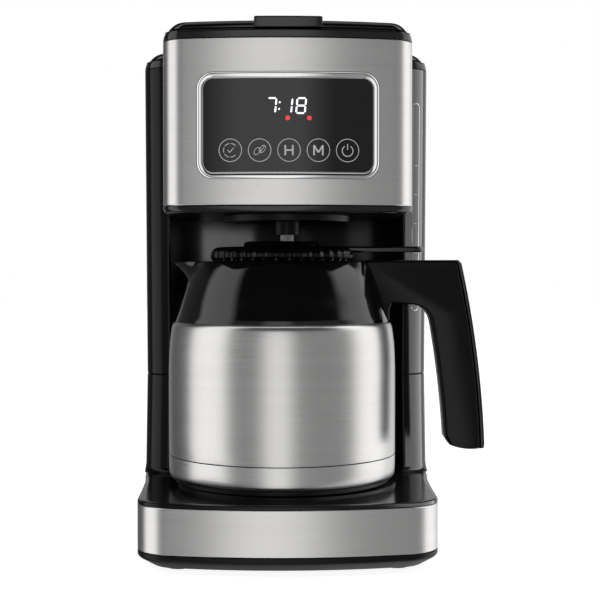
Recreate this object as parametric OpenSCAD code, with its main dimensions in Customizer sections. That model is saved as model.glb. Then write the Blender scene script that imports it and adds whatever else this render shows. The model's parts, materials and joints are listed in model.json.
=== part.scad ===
// Drip coffee maker with a thermal carafe: a base and rear column, a head that overhangs the carafe,
// a water tank behind it, a flow-through heater in the base and a lift-up lid over tank and basket.
// Millimetres. The origin is on the table under the centre of the carafe seat, front is -Y, +Z is up.

/* [Carafe] */
// Radius of the carafe's steel body
carafe_r = 80; // [70:0.5:98]
// How far the carafe stands to the side of the seat's centre
carafe_x = -3.5; // [-5:0.5:5]
// Height of the steel body above its bottom cap
shell_h = 92; // [75:1:112]
// Height of the steel bottom cap
cap_h = 16.7; // [12:0.1:24]
// Height of the plastic collar
collar_h = 42.4; // [34:0.1:52]
// Thickness of the carafe's steel sheet
steel_t = 0.8; // [0.5:0.1:1.2]
// Width of the handle from front to back
handle_w = 23; // [16:1:30]

/* [Body] */
// Clearance around the carafe in the column's recess
bay_gap = 18; // [12:1:24]
// Width of the column's front post on each side of the recess
post_w = 18.9; // [16:0.1:24]
// Depth of the housing behind the recess
tank_depth = 52; // [44:1:64]
// Distance from the carafe's axis to the front of the posts
post_y = 44; // [38:1:50]
// Height of the gap between the carafe's lid and the head
bay_clear = 17; // [14:1:24]
// Wall thickness of the plastic housings
wall = 2.5; // [2:0.1:3]

/* [Base] */
// Height of the bottom cover's wall
cover_h = 10.3; // [8:0.1:14]
// Height of the steel band around the base
band_h = 30.9; // [28:0.1:38]
// Height of the deck's rim above the band
rim_h = 2.8; // [2:0.1:4]
// Height of the rubber feet under the bottom cover
foot_h = 2; // [1:0.1:4]

/* [Head] */
// Height of the head's steel panel with its lower trim
head_h = 112.8; // [104:0.1:136]
// Width of the control glass
glass_w = 110.4; // [92:0.1:118]
// Height of the control glass
glass_h = 60.7; // [50:0.1:74]
// Height of the frame under the lid
frame_h = 5.7; // [5:0.1:8]
// Thickness of the lid
lid_h = 5.8; // [5:0.1:9]
// Radius of the brew basket's rim
basket_r = 57; // [48:0.5:58]

/* [Motion] */
// Travel of the drip valve
valve_travel = 4; // [2:0.5:5]
// Radial clearance of turning and sliding fits
fit_gap = 0.05; // [0.02:0.01:0.1]

/* [Hidden] */
$fn = 96;
eps = 0.01;

// Plan of the body, worked out from the carafe
recess_r = carafe_r + bay_gap;
recess_edge_x = sqrt(recess_r * recess_r - post_y * post_y);
body_hw = recess_edge_x + post_w;
rear_y = recess_r + tank_depth;
post_r = 22;
rear_r = 30;
base_front = carafe_r + 15;
base_hw = body_hw - 6.6;
base_bow_r = 330;
base_corner_r = 27;
head_front = carafe_r + 2;
head_hw = body_hw - 24;
head_bow_r = 320;
head_corner_r = 18;

// Heights of the base
cover_top = foot_h + cover_h;
band_top = cover_top + band_h;
deck_z = band_top + rim_h;
deck_t = 3;
band_t = 0.6;
skirt_inset = band_t + 0.1;
floor_t = 2.4;
seat_t = 2;
seat_r = carafe_r - 3;
seat_z = deck_z + seat_t;

// Heights of the carafe
rest_gap = 0.1;
cap_z = seat_z + rest_gap + 3.6;
shell_z = cap_z + cap_h;
collar_z = shell_z + shell_h;
collar_top = collar_z + collar_h;
lid_disc_h = 10;
boss_h = 4;
lid_disc_top = collar_top + lid_disc_h;
carafe_top = lid_disc_top + boss_h;
collar_top_r = carafe_r - 20;
collar_bottom_r = carafe_r - 4.8;
mouth_r = collar_top_r - 8;
neck_r = mouth_r - 3.2;
collar_t = 2.6;

// Heights of the head
seam_z = deck_z + 73;
seam_gap = 0.3;
head_z = carafe_top + bay_clear;
trim_h = 5;
head_top = head_z + head_h;
panel_t = 0.8;
panel_inset = panel_t + 0.1;
frame_top = head_top + frame_h;
lid_gap = 0.8;
lid_z = frame_top + lid_gap;
lid_top = lid_z + lid_h - lid_gap;
crown_r = 12;
lid_inset = 1;
lid_shell_t = 2.4;
glass_z = head_z + 0.49 * head_h + 1.1;
bezel_w = 4;
glass_r = 7;
panel_sag = head_bow_r - sqrt(head_bow_r * head_bow_r - glass_w * glass_w / 4);
board_y = -head_front + panel_inset + panel_sag + 5.3;

// Lid hinge
hinge_y = rear_y - 10;
hinge_z = lid_z;
barrel_r = 5.2;
barrel_half = 66;
pin_r = 1.5;
pin_len = 18;
ear_t = 5;
barrel_gap = 0.5;

// Tank
tank_gap = 1.2;
tank_t = 2;
tank_left_x = -60;
tank_z = seam_z + seam_gap + floor_t + 3;
tank_top = head_top - 10;
tube_r = 5;
tube_bore_r = 3.2;
inlet_x = 30;
riser_x = -70;
tube_y = recess_r + tank_depth / 2 - 4;

// Window in the front right corner of the rear housing
window_w = 7;
window_turn = -55;
window_top = head_top - 25;
window_bottom = seam_z + 47.2;
window_proud = 0.3;

// Heater
heater_z = cover_top + 14;
heater_cx = (inlet_x + riser_x) / 2;
heater_leg = (inlet_x - riser_x) / 2;
heater_cy = -8;
heater_leg_y = 46;
bend_r = 12;

// Basket and drip valve
basket_wall = 1.8;
basket_bottom_r = basket_r - 13;
basket_z = head_z - 3.2;
basket_top = head_top - 9;
basket_flange = 4.5;
well_r = basket_r + 2.5;
arm_notch = recess_r + 12 - well_r;
sump_t = 2;
nozzle_r = 9;
nozzle_len = 9;
stem_r = 4.9;
tip_gap = 0.5;
valve_head_t = 3;
valve_bridge_z = basket_z + 16;

// Carafe lid and lever
lid_r = mouth_r - 1.5;
plug_r = neck_r - 2.2;
plug_z = collar_top - 15;
boss_r = 27;
lever_w = 15;
lever_t = 4.2;
lever_z = lid_disc_top - 3.4;
lever_pivot_x = mouth_r - 12;
lever_tip_x = carafe_r + 20;
lever_pin_z = lever_z + lever_t / 2;
stopper_r = 4;
stopper_flange_r = 10;
seat_hole_r = 8;

// ---------- plans ----------

// Points of an arc about c from one angle to another, n steps long.
function arc(c, r, a0, a1, n) =
    [for (i = [0:n]) c + r * [cos(a0 + (a1 - a0) * i / n), sin(a0 + (a1 - a0) * i / n)]];

// Front edge as one shallow arc between two rounded corners, from the right side to the left.
function bowed_front(hw, front, bow_r, corner_r) =
    let (cy = bow_r - front,
        corner_y = cy - sqrt(pow(bow_r - corner_r, 2) - pow(hw - corner_r, 2)),
        a = atan2(corner_y - cy, hw - corner_r), bow = arc([0, cy], bow_r, a, -180 - a, 30))
    concat(arc([hw - corner_r, corner_y], corner_r, 0, a, 12), [for (i = [1:29]) bow[i]],
        arc([corner_r - hw, corner_y], corner_r, -180 - a, -180, 12));

// Bowed front with straight sides behind it.
module bowed_plan(hw, front, back, bow_r, corner_r) {
    polygon(concat([[hw, back]], bowed_front(hw, front, bow_r, corner_r), [[-hw, back]]));
}

// Rounded rectangle from x0 to x1 and y0 to y1, with its own radius at the front and at the back.
module rounded_plan(x0, x1, y0, y1, rf, rb) {
    polygon([[x0 + rf, y0], [x1 - rf, y0], [x1, y0 + rf], [x1, y1 - rb],
        [x1 - rb, y1], [x0 + rb, y1], [x0, y1 - rb], [x0, y0 + rf]]);
    for (x = [x0 + rf, x1 - rf]) translate([x, y0 + rf]) circle(rf);
    for (x = [x0 + rb, x1 - rb]) translate([x, y1 - rb]) circle(rb);
}

// The rear block's corners, inset by t: the back pair and the pair on the front posts.
function rear_corner(s, t) =
    arc([s * (body_hw - rear_r), rear_y - rear_r], rear_r - t, s > 0 ? 90 : 180, s > 0 ? 0 : 90, 16);
function post_corner(s, t) =
    arc([s * (body_hw - post_r), post_y + post_r], post_r - t, s > 0 ? 0 : -90, s > 0 ? -90 : -180, 16);

// Rear block of the machine, inset by t.
module rear_plan(t = 0) {
    polygon(concat(rear_corner(1, t), post_corner(1, t), post_corner(-1, t), rear_corner(-1, t)));
}

// Rear column with the carafe's recess in it.
module column_plan(t = 0) {
    difference() {
        rear_plan(t);
        circle(recess_r + t, $fn = 192);
    }
}

// Head in front of the column, reaching back to the recess.
module head_plan(t = 0) {
    difference() {
        bowed_plan(head_hw - t, head_front - t, recess_r + 2, head_bow_r - t, head_corner_r - t);
        difference() {
            translate([-body_hw - 10, post_y]) square([2 * body_hw + 20, rear_y]);
            circle(recess_r - t, $fn = 192);
        }
    }
}

// Footprint of the base: bowed front, sides that widen towards the column.
module base_plan(t = 0) {
    side = [[body_hw - t, post_y + post_r], [base_hw - t, -base_front / 2]];
    polygon(concat(rear_corner(1, t), side,
        bowed_front(base_hw - t, base_front - t, base_bow_r - t, base_corner_r - t),
        [for (i = [1, 0]) [-side[i].x, side[i].y]], rear_corner(-1, t)));
}

// Slab of a plan between two heights.
module slab(z0, z1) {
    translate([0, 0, z0]) linear_extrude(z1 - z0) children();
}

// Everything under the rounded crown of the head and of the rear block, between two heights.
module crown(z0, z1, t) {
    for (part = [0, 1]) intersection() {
        slab(z0, z1) {
            if (part == 0) head_plan(t);
            else rear_plan(t);
        }
        crown_hw = (part == 0 ? head_hw : body_hw) - t;
        crown_top = lid_top + (t > lid_inset ? lid_inset - t : 0);
        translate([0, rear_y + 1, 0]) rotate([90, 0, 0]) linear_extrude(rear_y + head_front + 2)
            rounded_plan(-crown_hw, crown_hw, head_top - 40, crown_top, 1, crown_r);
    }
}

// Prism along Y with a rounded rectangular face centred at the control glass.
module panel_prism(w, h, r, y0, y1) {
    translate([0, y1, glass_z]) rotate([90, 0, 0]) linear_extrude(y1 - y0)
        rounded_plan(-w / 2, w / 2, -h / 2, h / 2, r, r);
}

// Zone between two depths under the head's bowed front face.
module bow_zone(d0, d1) {
    zone_h = glass_h + 40;
    translate([0, -head_front + head_bow_r, glass_z - zone_h / 2]) difference() {
        cylinder(r = head_bow_r - d0, h = zone_h, $fn = 720);
        translate([0, 0, -1]) cylinder(r = head_bow_r - d1, h = zone_h + 2, $fn = 720);
    }
}

// Straight round tube.
module pipe(r, bore, h) {
    difference() {
        cylinder(r = r, h = h);
        translate([0, 0, -1]) cylinder(r = bore, h = h + 2);
    }
}

// Quarter bend of a tube: starts at the origin going +Y and ends going +Z.
module bend_up(r, bore) {
    translate([0, 0, bend_r]) rotate([0, 90, 0]) rotate([0, 0, 0]) rotate_extrude(angle = 90)
        translate([bend_r, 0]) difference() {
            circle(r, $fn = 48);
            circle(bore, $fn = 48);
        }
}

// Points of the arc that runs through three points, n steps long.
function circle_centre(a, b, c) =
    let (d = 2 * (a.x * (b.y - c.y) + b.x * (c.y - a.y) + c.x * (a.y - b.y)))
    [((a * a) * (b.y - c.y) + (b * b) * (c.y - a.y) + (c * c) * (a.y - b.y)) / d,
        ((a * a) * (c.x - b.x) + (b * b) * (a.x - c.x) + (c * c) * (b.x - a.x)) / d];
function turn(a) = a > 180 ? a - 360 : a < -180 ? a + 360 : a;
function arc3(a, b, c, n) =
    let (o = circle_centre(a, b, c), r = norm(a - o),
        a0 = atan2(a.y - o.y, a.x - o.x),
        sweep = turn(atan2(c.y - o.y, c.x - o.x) - a0))
    [for (i = [0:n]) o + r * [cos(a0 + sweep * i / n), sin(a0 + sweep * i / n)]];

// ---------- base ----------

foot_places = [for (x = [-1, 1], y = [-base_front + 35, rear_y - 32]) [x * (base_hw - 28), y]];
screw_places = [for (x = [-1, 1], y = [-base_front + 60, rear_y - 60]) [x * (base_hw - 14), y]];

board_x = 48;
drain_r = 2.5;
board_floor_z = cover_top + 4;
module bottom_cover() {
    color([0.03, 0.03, 0.03]) for (x = [4, 38], y = [4, 54])
        translate([board_x + x, y, foot_h + floor_t - eps]) pipe(3, 1.3, board_floor_z - foot_h - floor_t);
    color([0.03, 0.03, 0.03]) difference() {
        hull() {
            slab(foot_h, foot_h + 0.5) base_plan(8);
            slab(cover_top - 3.3, cover_top) base_plan();
        }
        slab(foot_h + floor_t, cover_top + 1) base_plan(wall + 6.5);
        for (p = screw_places) translate([p.x, p.y, 0]) {
            cylinder(r = 1.8, h = cover_top);
            translate([0, 0, foot_h - 1]) cylinder(r = 4, h = 2.4);
        }
        for (p = foot_places) translate([p.x, p.y, foot_h - 1]) cylinder(r = 9.2, h = 2);
        for (i = [-3:3]) translate([i * 9 - 2, 60, 0]) cube([4, 34, foot_h + floor_t + 1]);
        cylinder(r = drain_r, h = foot_h + floor_t + 1);
    }
}

module feet() {
    color([0.08, 0.08, 0.08]) for (p = foot_places) translate([p.x, p.y, 0])
        cylinder(r = 9, h = foot_h + 1);
}

module base_screws() {
    color("silver") for (p = screw_places) translate([p.x, p.y, foot_h + 0.2]) {
        cylinder(r = 3.4, h = 1.2);
        cylinder(r = 1.4, h = cover_h + 4);
    }
}

module base_band() {
    color([0.72, 0.71, 0.7]) slab(cover_top, band_top) difference() {
        base_plan();
        base_plan(band_t);
        translate([-body_hw - 1, rear_y - rear_r - 8]) square([2 * body_hw + 2, rear_r + 20]);
    }
}

module base_housing() {
    color([0.02, 0.02, 0.02]) difference() {
        union() {
            slab(cover_top + 0.1, band_top + eps) base_plan(skirt_inset);
            slab(band_top, deck_z) base_plan();
            slab(deck_z - eps, seam_z) column_plan();
        }
        slab(cover_top, deck_z - deck_t) base_plan(skirt_inset + wall);
        slab(deck_z - deck_t - eps, seam_z + 1) column_plan(wall);
        gland_place() cylinder(r = gland_body_r + 0.05, h = 20, center = true);
    }
    color([0.02, 0.02, 0.02]) for (p = screw_places) translate([p.x, p.y, cover_top + 0.1])
        pipe(4, 1.45, deck_z - deck_t - cover_top + 1);
    color([0.02, 0.02, 0.02]) for (p = housing_screw_places) translate([p.x, p.y, seam_z - 14])
        pipe(4, 1.45, 14);
}

module carafe_seat() {
    color([0.05, 0.05, 0.05]) difference() {
        translate([0, 0, deck_z]) cylinder(r = seat_r, h = seat_t);
        for (r = [seat_r - 12, seat_r - 26, seat_r - 40]) translate([0, 0, seat_z - 0.8])
            pipe(r, r - 2.5, 2);
    }
}

gland_body_r = 6.5;
gland_bore_r = 3.8;
gland_flange_t = 2;
gland_in = 10;
module gland_place() {
    translate([46, rear_y - skirt_inset, cover_top + 15]) rotate([-90, 0, 0]) children();
}

module cord_gland() {
    color([0.04, 0.04, 0.04]) gland_place() difference() {
        union() {
            cylinder(r = 9.5, h = gland_flange_t);
            translate([0, 0, -gland_in]) cylinder(r = gland_body_r, h = gland_in + 1);
        }
        translate([0, 0, -gland_in - 1]) cylinder(r = gland_bore_r, h = gland_in + gland_flange_t + 2);
    }
}

// ---------- heater and water path ----------

// The heater's U: a half ring at the front and two straight legs towards the tank.
module heater_path(r, bore, x_out = 0, z_off = 0) {
    leg = heater_leg + x_out;
    translate([heater_cx, heater_cy, heater_z + z_off]) {
        rotate([0, 0, 180]) rotate_extrude(angle = 180) translate([leg, 0]) difference() {
            circle(r, $fn = 48);
            if (bore > 0) circle(bore, $fn = 48);
        }
        for (s = [-1, 1]) translate([s * leg, 0, 0]) rotate([-90, 0, 0])
            if (bore > 0) pipe(r, bore, heater_leg_y);
            else cylinder(r = r, h = heater_leg_y);
    }
}

module heater() {
    color([0.7, 0.7, 0.7]) {
        difference() {
            union() {
                heater_path(6, 0);
                heater_path(5, 0, -10, 0);
            }
            heater_path(3, 0);
        }
        translate([heater_cx - 8, heater_cy - heater_leg - 3, heater_z + 4]) cube([16, 14, 4]);
    }
}

module heater_clamps() {
    inner = heater_leg - 18.5;
    outer = heater_leg + 9;
    top_z = heater_z + 6.1;
    color("silver") for (s = [0, 1]) translate([heater_cx, heater_cy + 15, 0]) mirror([s, 0, 0]) {
        translate([inner, 0, top_z]) cube([outer - inner, 10, 1.5]);
        for (x = [inner, outer - 1.5]) translate([x, 0, foot_h + floor_t])
            cube([1.5, 10, top_z - foot_h - floor_t + 1]);
    }
}

module thermostat() {
    color([0.85, 0.83, 0.78]) translate([heater_cx, heater_cy - heater_leg + 4, heater_z + 8.1]) {
        cylinder(r = 7, h = 5);
        for (s = [-1, 1]) translate([s * 4 - 1.5, -0.4, 4]) cube([3, 0.8, 4]);
    }
}

module thermal_fuse() {
    color([0.8, 0.75, 0.7]) translate([heater_cx - heater_leg, heater_cy + 28, heater_z + 7.9])
        rotate([-90, 0, 0]) cylinder(r = 1.8, h = 16);
}

module power_board() {
    color([0.1, 0.35, 0.16]) translate([board_x, 0, board_floor_z]) difference() {
        cube([42, 58, 1.6]);
        for (x = [4, 38], y = [4, 54]) translate([x, y, -1]) cylinder(r = 1.6, h = 4);
    }
}

module power_board_parts() {
    z = board_floor_z + 1.6;
    color([0.15, 0.3, 0.6]) {
        translate([board_x + 6, 8, z]) cube([16, 20, 14]);
        translate([board_x + 28, 16, z]) cylinder(r = 6, h = 14);
        translate([board_x + 8, 34, z]) cube([12, 8, 10]);
        translate([board_x + 24, 30, z]) cube([12, 16, 11]);
    }
}

valve_body_z = seam_z - 30;
valve_body_h = 22;
module inlet_tube() {
    heater_end_y = heater_cy + heater_leg_y;
    color([0.85, 0.83, 0.78]) {
        translate([inlet_x, heater_end_y, heater_z]) rotate([-90, 0, 0])
            pipe(tube_r, tube_bore_r, tube_y - bend_r - heater_end_y + eps);
        translate([inlet_x, tube_y - bend_r, heater_z]) bend_up(tube_r, tube_bore_r);
        translate([inlet_x, tube_y, heater_z + bend_r - eps])
            pipe(tube_r, tube_bore_r, valve_body_z - heater_z - bend_r);
    }
}

ball_r = 3.8;
ball_seat_r = 2.6;
chamber_z = 6;
module check_valve_body() {
    color([0.9, 0.9, 0.88]) translate([inlet_x, tube_y, valve_body_z]) difference() {
        cylinder(r = 7.5, h = valve_body_h);
        translate([0, 0, -1]) cylinder(r = ball_seat_r, h = valve_body_h + 2);
        translate([0, 0, chamber_z]) cylinder(r = ball_r + 0.8, h = 10);
        translate([0, 0, valve_body_h - 4]) cylinder(r = tube_r + 0.2, h = 5);
    }
}

module check_ball() {
    seated = sqrt(ball_r * ball_r - ball_seat_r * ball_seat_r) + 0.1;
    color([0.5, 0.5, 0.52]) translate([inlet_x, tube_y, valve_body_z + chamber_z + seated]) sphere(ball_r);
}

module riser_tube() {
    heater_end_y = heater_cy + heater_leg_y;
    color([0.85, 0.83, 0.78]) {
        translate([riser_x, heater_end_y, heater_z]) rotate([-90, 0, 0])
            pipe(tube_r, tube_bore_r, tube_y - bend_r - heater_end_y + eps);
        translate([riser_x, tube_y - bend_r, heater_z]) bend_up(tube_r, tube_bore_r);
        translate([riser_x, tube_y, heater_z + bend_r - eps])
            pipe(tube_r, tube_bore_r, riser_top - heater_z - bend_r);
    }
}

// The harness climbs the column's left side, crosses into the head and ends at the control board.
harness_r = 2.5;
harness_z = head_z + 20;
harness_line = [[riser_x - 14, recess_r - 22, cover_top + 8], [riser_x - 14, recess_r - 22, harness_z],
    [-well_r - 8, 34, harness_z], [-well_r - 8, 12 - head_front, harness_z], [-42, board_y + 5, harness_z]];

// Round bar from a to b.
module bar(a, b, r) {
    d = b - a;
    translate(a) rotate([0, acos(d.z / norm(d)), atan2(d.y, d.x)]) cylinder(r = r, h = norm(d));
}

module wire_harness() {
    color([0.1, 0.1, 0.1]) {
        for (i = [0:3]) bar(harness_line[i], harness_line[i + 1], harness_r);
        for (i = [1:3]) translate(harness_line[i]) sphere(harness_r + 0.2);
    }
}

// ---------- rear housing and tank ----------

// Stadium-shaped cut through the front right corner, square to its round.
module window_prism(w, z0, z1, r0, r1) {
    translate([body_hw - post_r, post_y + post_r, 0]) rotate([0, 0, window_turn]) {
        translate([r0, -w / 2, z0 + w / 2]) cube([r1 - r0, w, z1 - z0 - w]);
        for (z = [z0 + w / 2, z1 - w / 2]) translate([r0, 0, z]) rotate([0, 90, 0])
            cylinder(r = w / 2, h = r1 - r0);
    }
}

housing_screw_places = [for (s = [-1, 1]) [s * (body_hw - wall - 3.4), rear_y - 44]];

module rear_housing() {
    color([0.02, 0.02, 0.02]) difference() {
        slab(seam_z + seam_gap, head_top) column_plan();
        slab(seam_z + seam_gap + floor_t, head_top + 1) column_plan(wall);
        window_prism(window_w, window_bottom, window_top, post_r - 6, post_r + 4);
        translate([inlet_x, tube_y, seam_z - 1]) cylinder(r = 8, h = 8);
        translate([riser_x, tube_y, seam_z - 1]) cylinder(r = tube_r + 0.5, h = 8);
        translate([harness_line[0].x, harness_line[0].y, seam_z - 1]) cylinder(r = 3, h = 8);
        for (p = housing_screw_places) translate([p.x, p.y, seam_z - 1]) cylinder(r = 1.6, h = 8);
        bar(harness_line[1], harness_line[2], harness_r + 1.2);
        spray_arm_place() translate([well_r, -4, -4]) cube([arm_notch, 8, 20]);
        for (i = [-4:4]) translate([i * 9 - 1.5, rear_y - wall - 1, head_top - 26]) cube([3, wall + 2, 14]);
    }
}

module housing_screws() {
    color("silver") for (p = housing_screw_places) translate([p.x, p.y, seam_z - 8]) {
        cylinder(r = 1.4, h = 9);
        translate([0, 0, 8 + seam_gap + floor_t]) cylinder(r = 3, h = 1.4);
        cylinder(r = 1.4, h = 8 + seam_gap + floor_t + 0.5);
    }
}

module tank_plan(t = 0) {
    inset = wall + tank_gap + t;
    intersection() {
        column_plan(inset);
        translate([tank_left_x + t, 0]) square([body_hw - tank_left_x, rear_y]);
    }
}

module tank() {
    color([0.55, 0.58, 0.6, 0.5]) difference() {
        union() {
            slab(tank_z, tank_top) tank_plan();
            translate([inlet_x, tube_y, valve_body_z + valve_body_h - 3.8])
                cylinder(r = tube_r, h = tank_z - valve_body_z - valve_body_h + 3.8 + eps);
        }
        slab(tank_z + tank_t, tank_top + 1) tank_plan(tank_t);
        translate([inlet_x, tube_y, valve_body_z]) cylinder(r = tube_bore_r, h = 60);
    }
}

module tank_seal() {
    color([0.75, 0.3, 0.2]) translate([inlet_x, tube_y, seam_z + seam_gap + floor_t])
        pipe(9, tube_r + 0.05, 3);
}

module level_window() {
    color([0.7, 0.72, 0.74, 0.4]) intersection() {
        window_prism(window_w - 0.2, window_bottom + 0.1, window_top - 0.1, post_r - 5, post_r + 3);
        translate([body_hw - post_r, post_y + post_r, window_bottom - 5])
            pipe(post_r + window_proud, post_r - wall, window_top - window_bottom + 10);
    }
}

// ---------- head ----------

board_screw_places = [for (x = [-1, 1], z = [-1, 1])
    [x * (glass_w / 2 - 7), glass_z + z * (glass_h / 2 - 9)]];
board_boss_y = board_y - 5.4;

module head_housing() {
    inner = panel_inset + wall;
    color([0.03, 0.03, 0.03]) difference() {
        union() {
            difference() {
                slab(head_z + 0.6, head_top) head_plan(panel_inset);
                slab(head_z + 3.2, head_top + 1) head_plan(inner);
            }
            translate([0, 0, head_z + 2]) cylinder(r = well_r + 2, h = basket_top - 2.2 - head_z - 2);
            for (p = board_screw_places) translate([p.x, board_boss_y, p.y]) rotate([-90, 0, 0])
                cylinder(r = 3.4, h = board_y - board_boss_y - 0.02);
        }
        for (p = board_screw_places) translate([p.x, board_boss_y + 1, p.y]) rotate([-90, 0, 0])
            cylinder(r = 1.25, h = 20);
        translate([0, 0, head_z - 1]) cylinder(r = basket_bottom_r + 1.5, h = 10);
        translate([0, 0, head_z + 3.2]) cylinder(r = well_r, h = head_h);
        panel_prism(glass_w - 24, glass_h - 14, 4, -head_front - 2, -head_front + 8);
        bar(harness_line[1], harness_line[2], harness_r + 1.2);
        spray_arm_place() translate([well_r, -4, -4]) cube([arm_notch, 8, 20]);
    }
}

module head_trim() {
    color([0.03, 0.03, 0.03]) slab(head_z, head_z + trim_h - 0.1) intersection() {
        difference() {
            head_plan();
            head_plan(panel_inset - 0.05);
        }
        translate([-body_hw, -head_front - 1]) square([2 * body_hw, head_front + post_y - 2]);
    }
}

module front_panel() {
    color([0.72, 0.71, 0.7]) difference() {
        slab(head_z + trim_h, head_top) intersection() {
            difference() {
                head_plan();
                head_plan(panel_t);
            }
            translate([-body_hw, -head_front - 1]) square([2 * body_hw, head_front + post_y - 2]);
        }
        panel_prism(glass_w + 1, glass_h + 1, glass_r, -head_front - 2, -head_front + 8);
    }
}

module panel_bezel() {
    color([0.8, 0.8, 0.8]) intersection() {
        difference() {
            panel_prism(glass_w + 2 * bezel_w, glass_h + 2 * bezel_w, glass_r + bezel_w - 0.5,
                -head_front - 2, -head_front + 10);
            panel_prism(glass_w + 0.2, glass_h + 0.2, glass_r - 0.5, -head_front - 3, -head_front + 11);
        }
        bow_zone(-1.2, 0);
    }
}

module control_glass() {
    color([0.02, 0.02, 0.02]) intersection() {
        panel_prism(glass_w, glass_h, glass_r - 0.6, -head_front - 2, -head_front + 10);
        bow_zone(-0.3, panel_inset - 0.05);
    }
}

module display_module() {
    depth = 5.4;
    color([0.9, 0.9, 0.88]) translate([-24, board_y - depth - 0.05, glass_z + 2]) cube([48, depth, 20]);
}

module control_board() {
    color([0.1, 0.35, 0.16]) difference() {
        translate([-glass_w / 2 + 4, board_y, glass_z - glass_h / 2 + 5])
            cube([glass_w - 8, 1.6, glass_h - 10]);
        for (p = board_screw_places) translate([p.x, board_y - 1, p.y]) rotate([-90, 0, 0])
            cylinder(r = 1.4, h = 4);
    }
}

module board_screws() {
    color("silver") for (p = board_screw_places) translate([p.x, board_y + 1.6, p.y]) rotate([-90, 0, 0]) {
        cylinder(r = 2.6, h = 1.6);
        translate([0, 0, -5]) cylinder(r = 1.2, h = 6);
    }
}

// ---------- basket, filter, drip valve ----------

module brew_basket() {
    color([0.03, 0.03, 0.03]) difference() {
        union() {
            translate([0, 0, basket_z])
                cylinder(r1 = basket_bottom_r, r2 = basket_r, h = basket_top - basket_z);
            translate([0, 0, basket_top - 2]) cylinder(r = basket_r + basket_flange - 0.5, h = 2);
            translate([0, 0, basket_z - nozzle_len]) cylinder(r = nozzle_r, h = nozzle_len + 1);
        }
        translate([0, 0, basket_z + sump_t]) cylinder(r1 = basket_bottom_r - basket_wall,
            r2 = basket_r - basket_wall, h = basket_top - basket_z - sump_t + eps);
        translate([0, 0, basket_z - nozzle_len - 1]) cylinder(r = stem_r + fit_gap, h = nozzle_len + 10);
    }
    color([0.03, 0.03, 0.03]) difference() {
        translate([0, 0, basket_z + sump_t - eps]) pipe(12.5, 11, valve_bridge_z - basket_z - sump_t + 1.5);
        for (a = [0:90:270]) rotate([0, 0, a]) translate([5, -3, basket_z + sump_t - 1]) cube([10, 6, 7]);
    }
    color([0.03, 0.03, 0.03]) translate([0, 0, valve_bridge_z]) difference() {
        cylinder(r = 11 + eps, h = 1.5);
        for (a = [0:60:300]) rotate([0, 0, a]) translate([7, 0, -1]) cylinder(r = 2, h = 4);
    }
}

module permanent_filter() {
    z0 = valve_bridge_z + 4;
    h = basket_top - 4 - z0;
    color([0.75, 0.62, 0.35]) difference() {
        union() {
            translate([0, 0, z0]) cylinder(r1 = basket_bottom_r - 8, r2 = basket_r - 4.5, h = h);
            translate([0, 0, z0 + h - 2]) cylinder(r = basket_r - 2.6, h = 2);
        }
        translate([0, 0, z0 + 1]) cylinder(r1 = basket_bottom_r - 9, r2 = basket_r - 5.5, h = h);
    }
}

module valve_plunger() {
    tip_z = carafe_top + tip_gap;
    head_bottom = basket_z + sump_t + 1.1;
    color([0.9, 0.9, 0.88]) difference() {
        union() {
            translate([0, 0, tip_z]) cylinder(r = stem_r, h = head_bottom - tip_z + eps);
            translate([0, 0, head_bottom]) cylinder(r = 8.5, h = valve_head_t);
        }
        for (a = [0:90:270]) rotate([0, 0, a]) translate([3.4, -1, tip_z - 1])
            cube([4, 2, head_bottom - tip_z]);
    }
}

module valve_seal() {
    color([0.75, 0.3, 0.2]) translate([0, 0, basket_z + sump_t + 0.05]) pipe(8.2, stem_r + 0.02, 1);
}

// Flat-ended spring as a stack of thin rings on a sleeve: the plain form of a coil.
module spring(r, wire, h, turns) {
    pitch = (h - wire) / turns;
    for (i = [0:turns]) translate([0, 0, wire / 2 + i * pitch]) rotate_extrude($fn = 48)
        translate([r, 0]) circle(wire / 2, $fn = 16);
    for (a = [0, 180]) rotate([0, 0, a]) translate([r - wire / 4, -wire / 4, wire / 2])
        cube([wire / 2, wire / 2, h - wire]);
}

valve_spring_z = basket_z + sump_t + 1.1 + valve_head_t;
module valve_spring() {
    color("silver") translate([0, 0, valve_spring_z + 0.05])
        spring(6, 1, valve_bridge_z - valve_spring_z - 0.1, 5);
}

arm_z = basket_top + 3.4;
riser_top = tank_top - 6;
module spray_arm_place() {
    rotate([0, 0, atan2(tube_y, riser_x)]) translate([0, 0, arm_z]) children();
}

module spray_arm() {
    reach = norm([riser_x, tube_y]);
    color([0.85, 0.85, 0.83]) difference() {
        union() {
            spray_arm_place() translate([8, 0, 0]) rotate([0, 90, 0]) cylinder(r = 3, h = reach - 8);
            translate([riser_x, tube_y, riser_top + 0.1]) cylinder(r = 5.6, h = arm_z + 4.4 - riser_top);
        }
        spray_arm_place() translate([7, 0, 0]) rotate([0, 90, 0]) cylinder(r = 1.8, h = reach - 7);
        translate([riser_x, tube_y, riser_top]) cylinder(r = tube_bore_r, h = arm_z + 2.6 - riser_top);
    }
}

module spray_head() {
    color([0.85, 0.85, 0.83]) translate([0, 0, basket_top - 2]) difference() {
        union() {
            cylinder(r = 17, h = 2);
            cylinder(r = 7.9, h = 9);
        }
        translate([0, 0, 1.2]) cylinder(r = 6, h = 6);
        for (a = [0:45:315]) rotate([0, 0, a]) translate([12, 0, -1]) cylinder(r = 1.2, h = 4);
    }
}

// ---------- top frame and lid ----------

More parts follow.
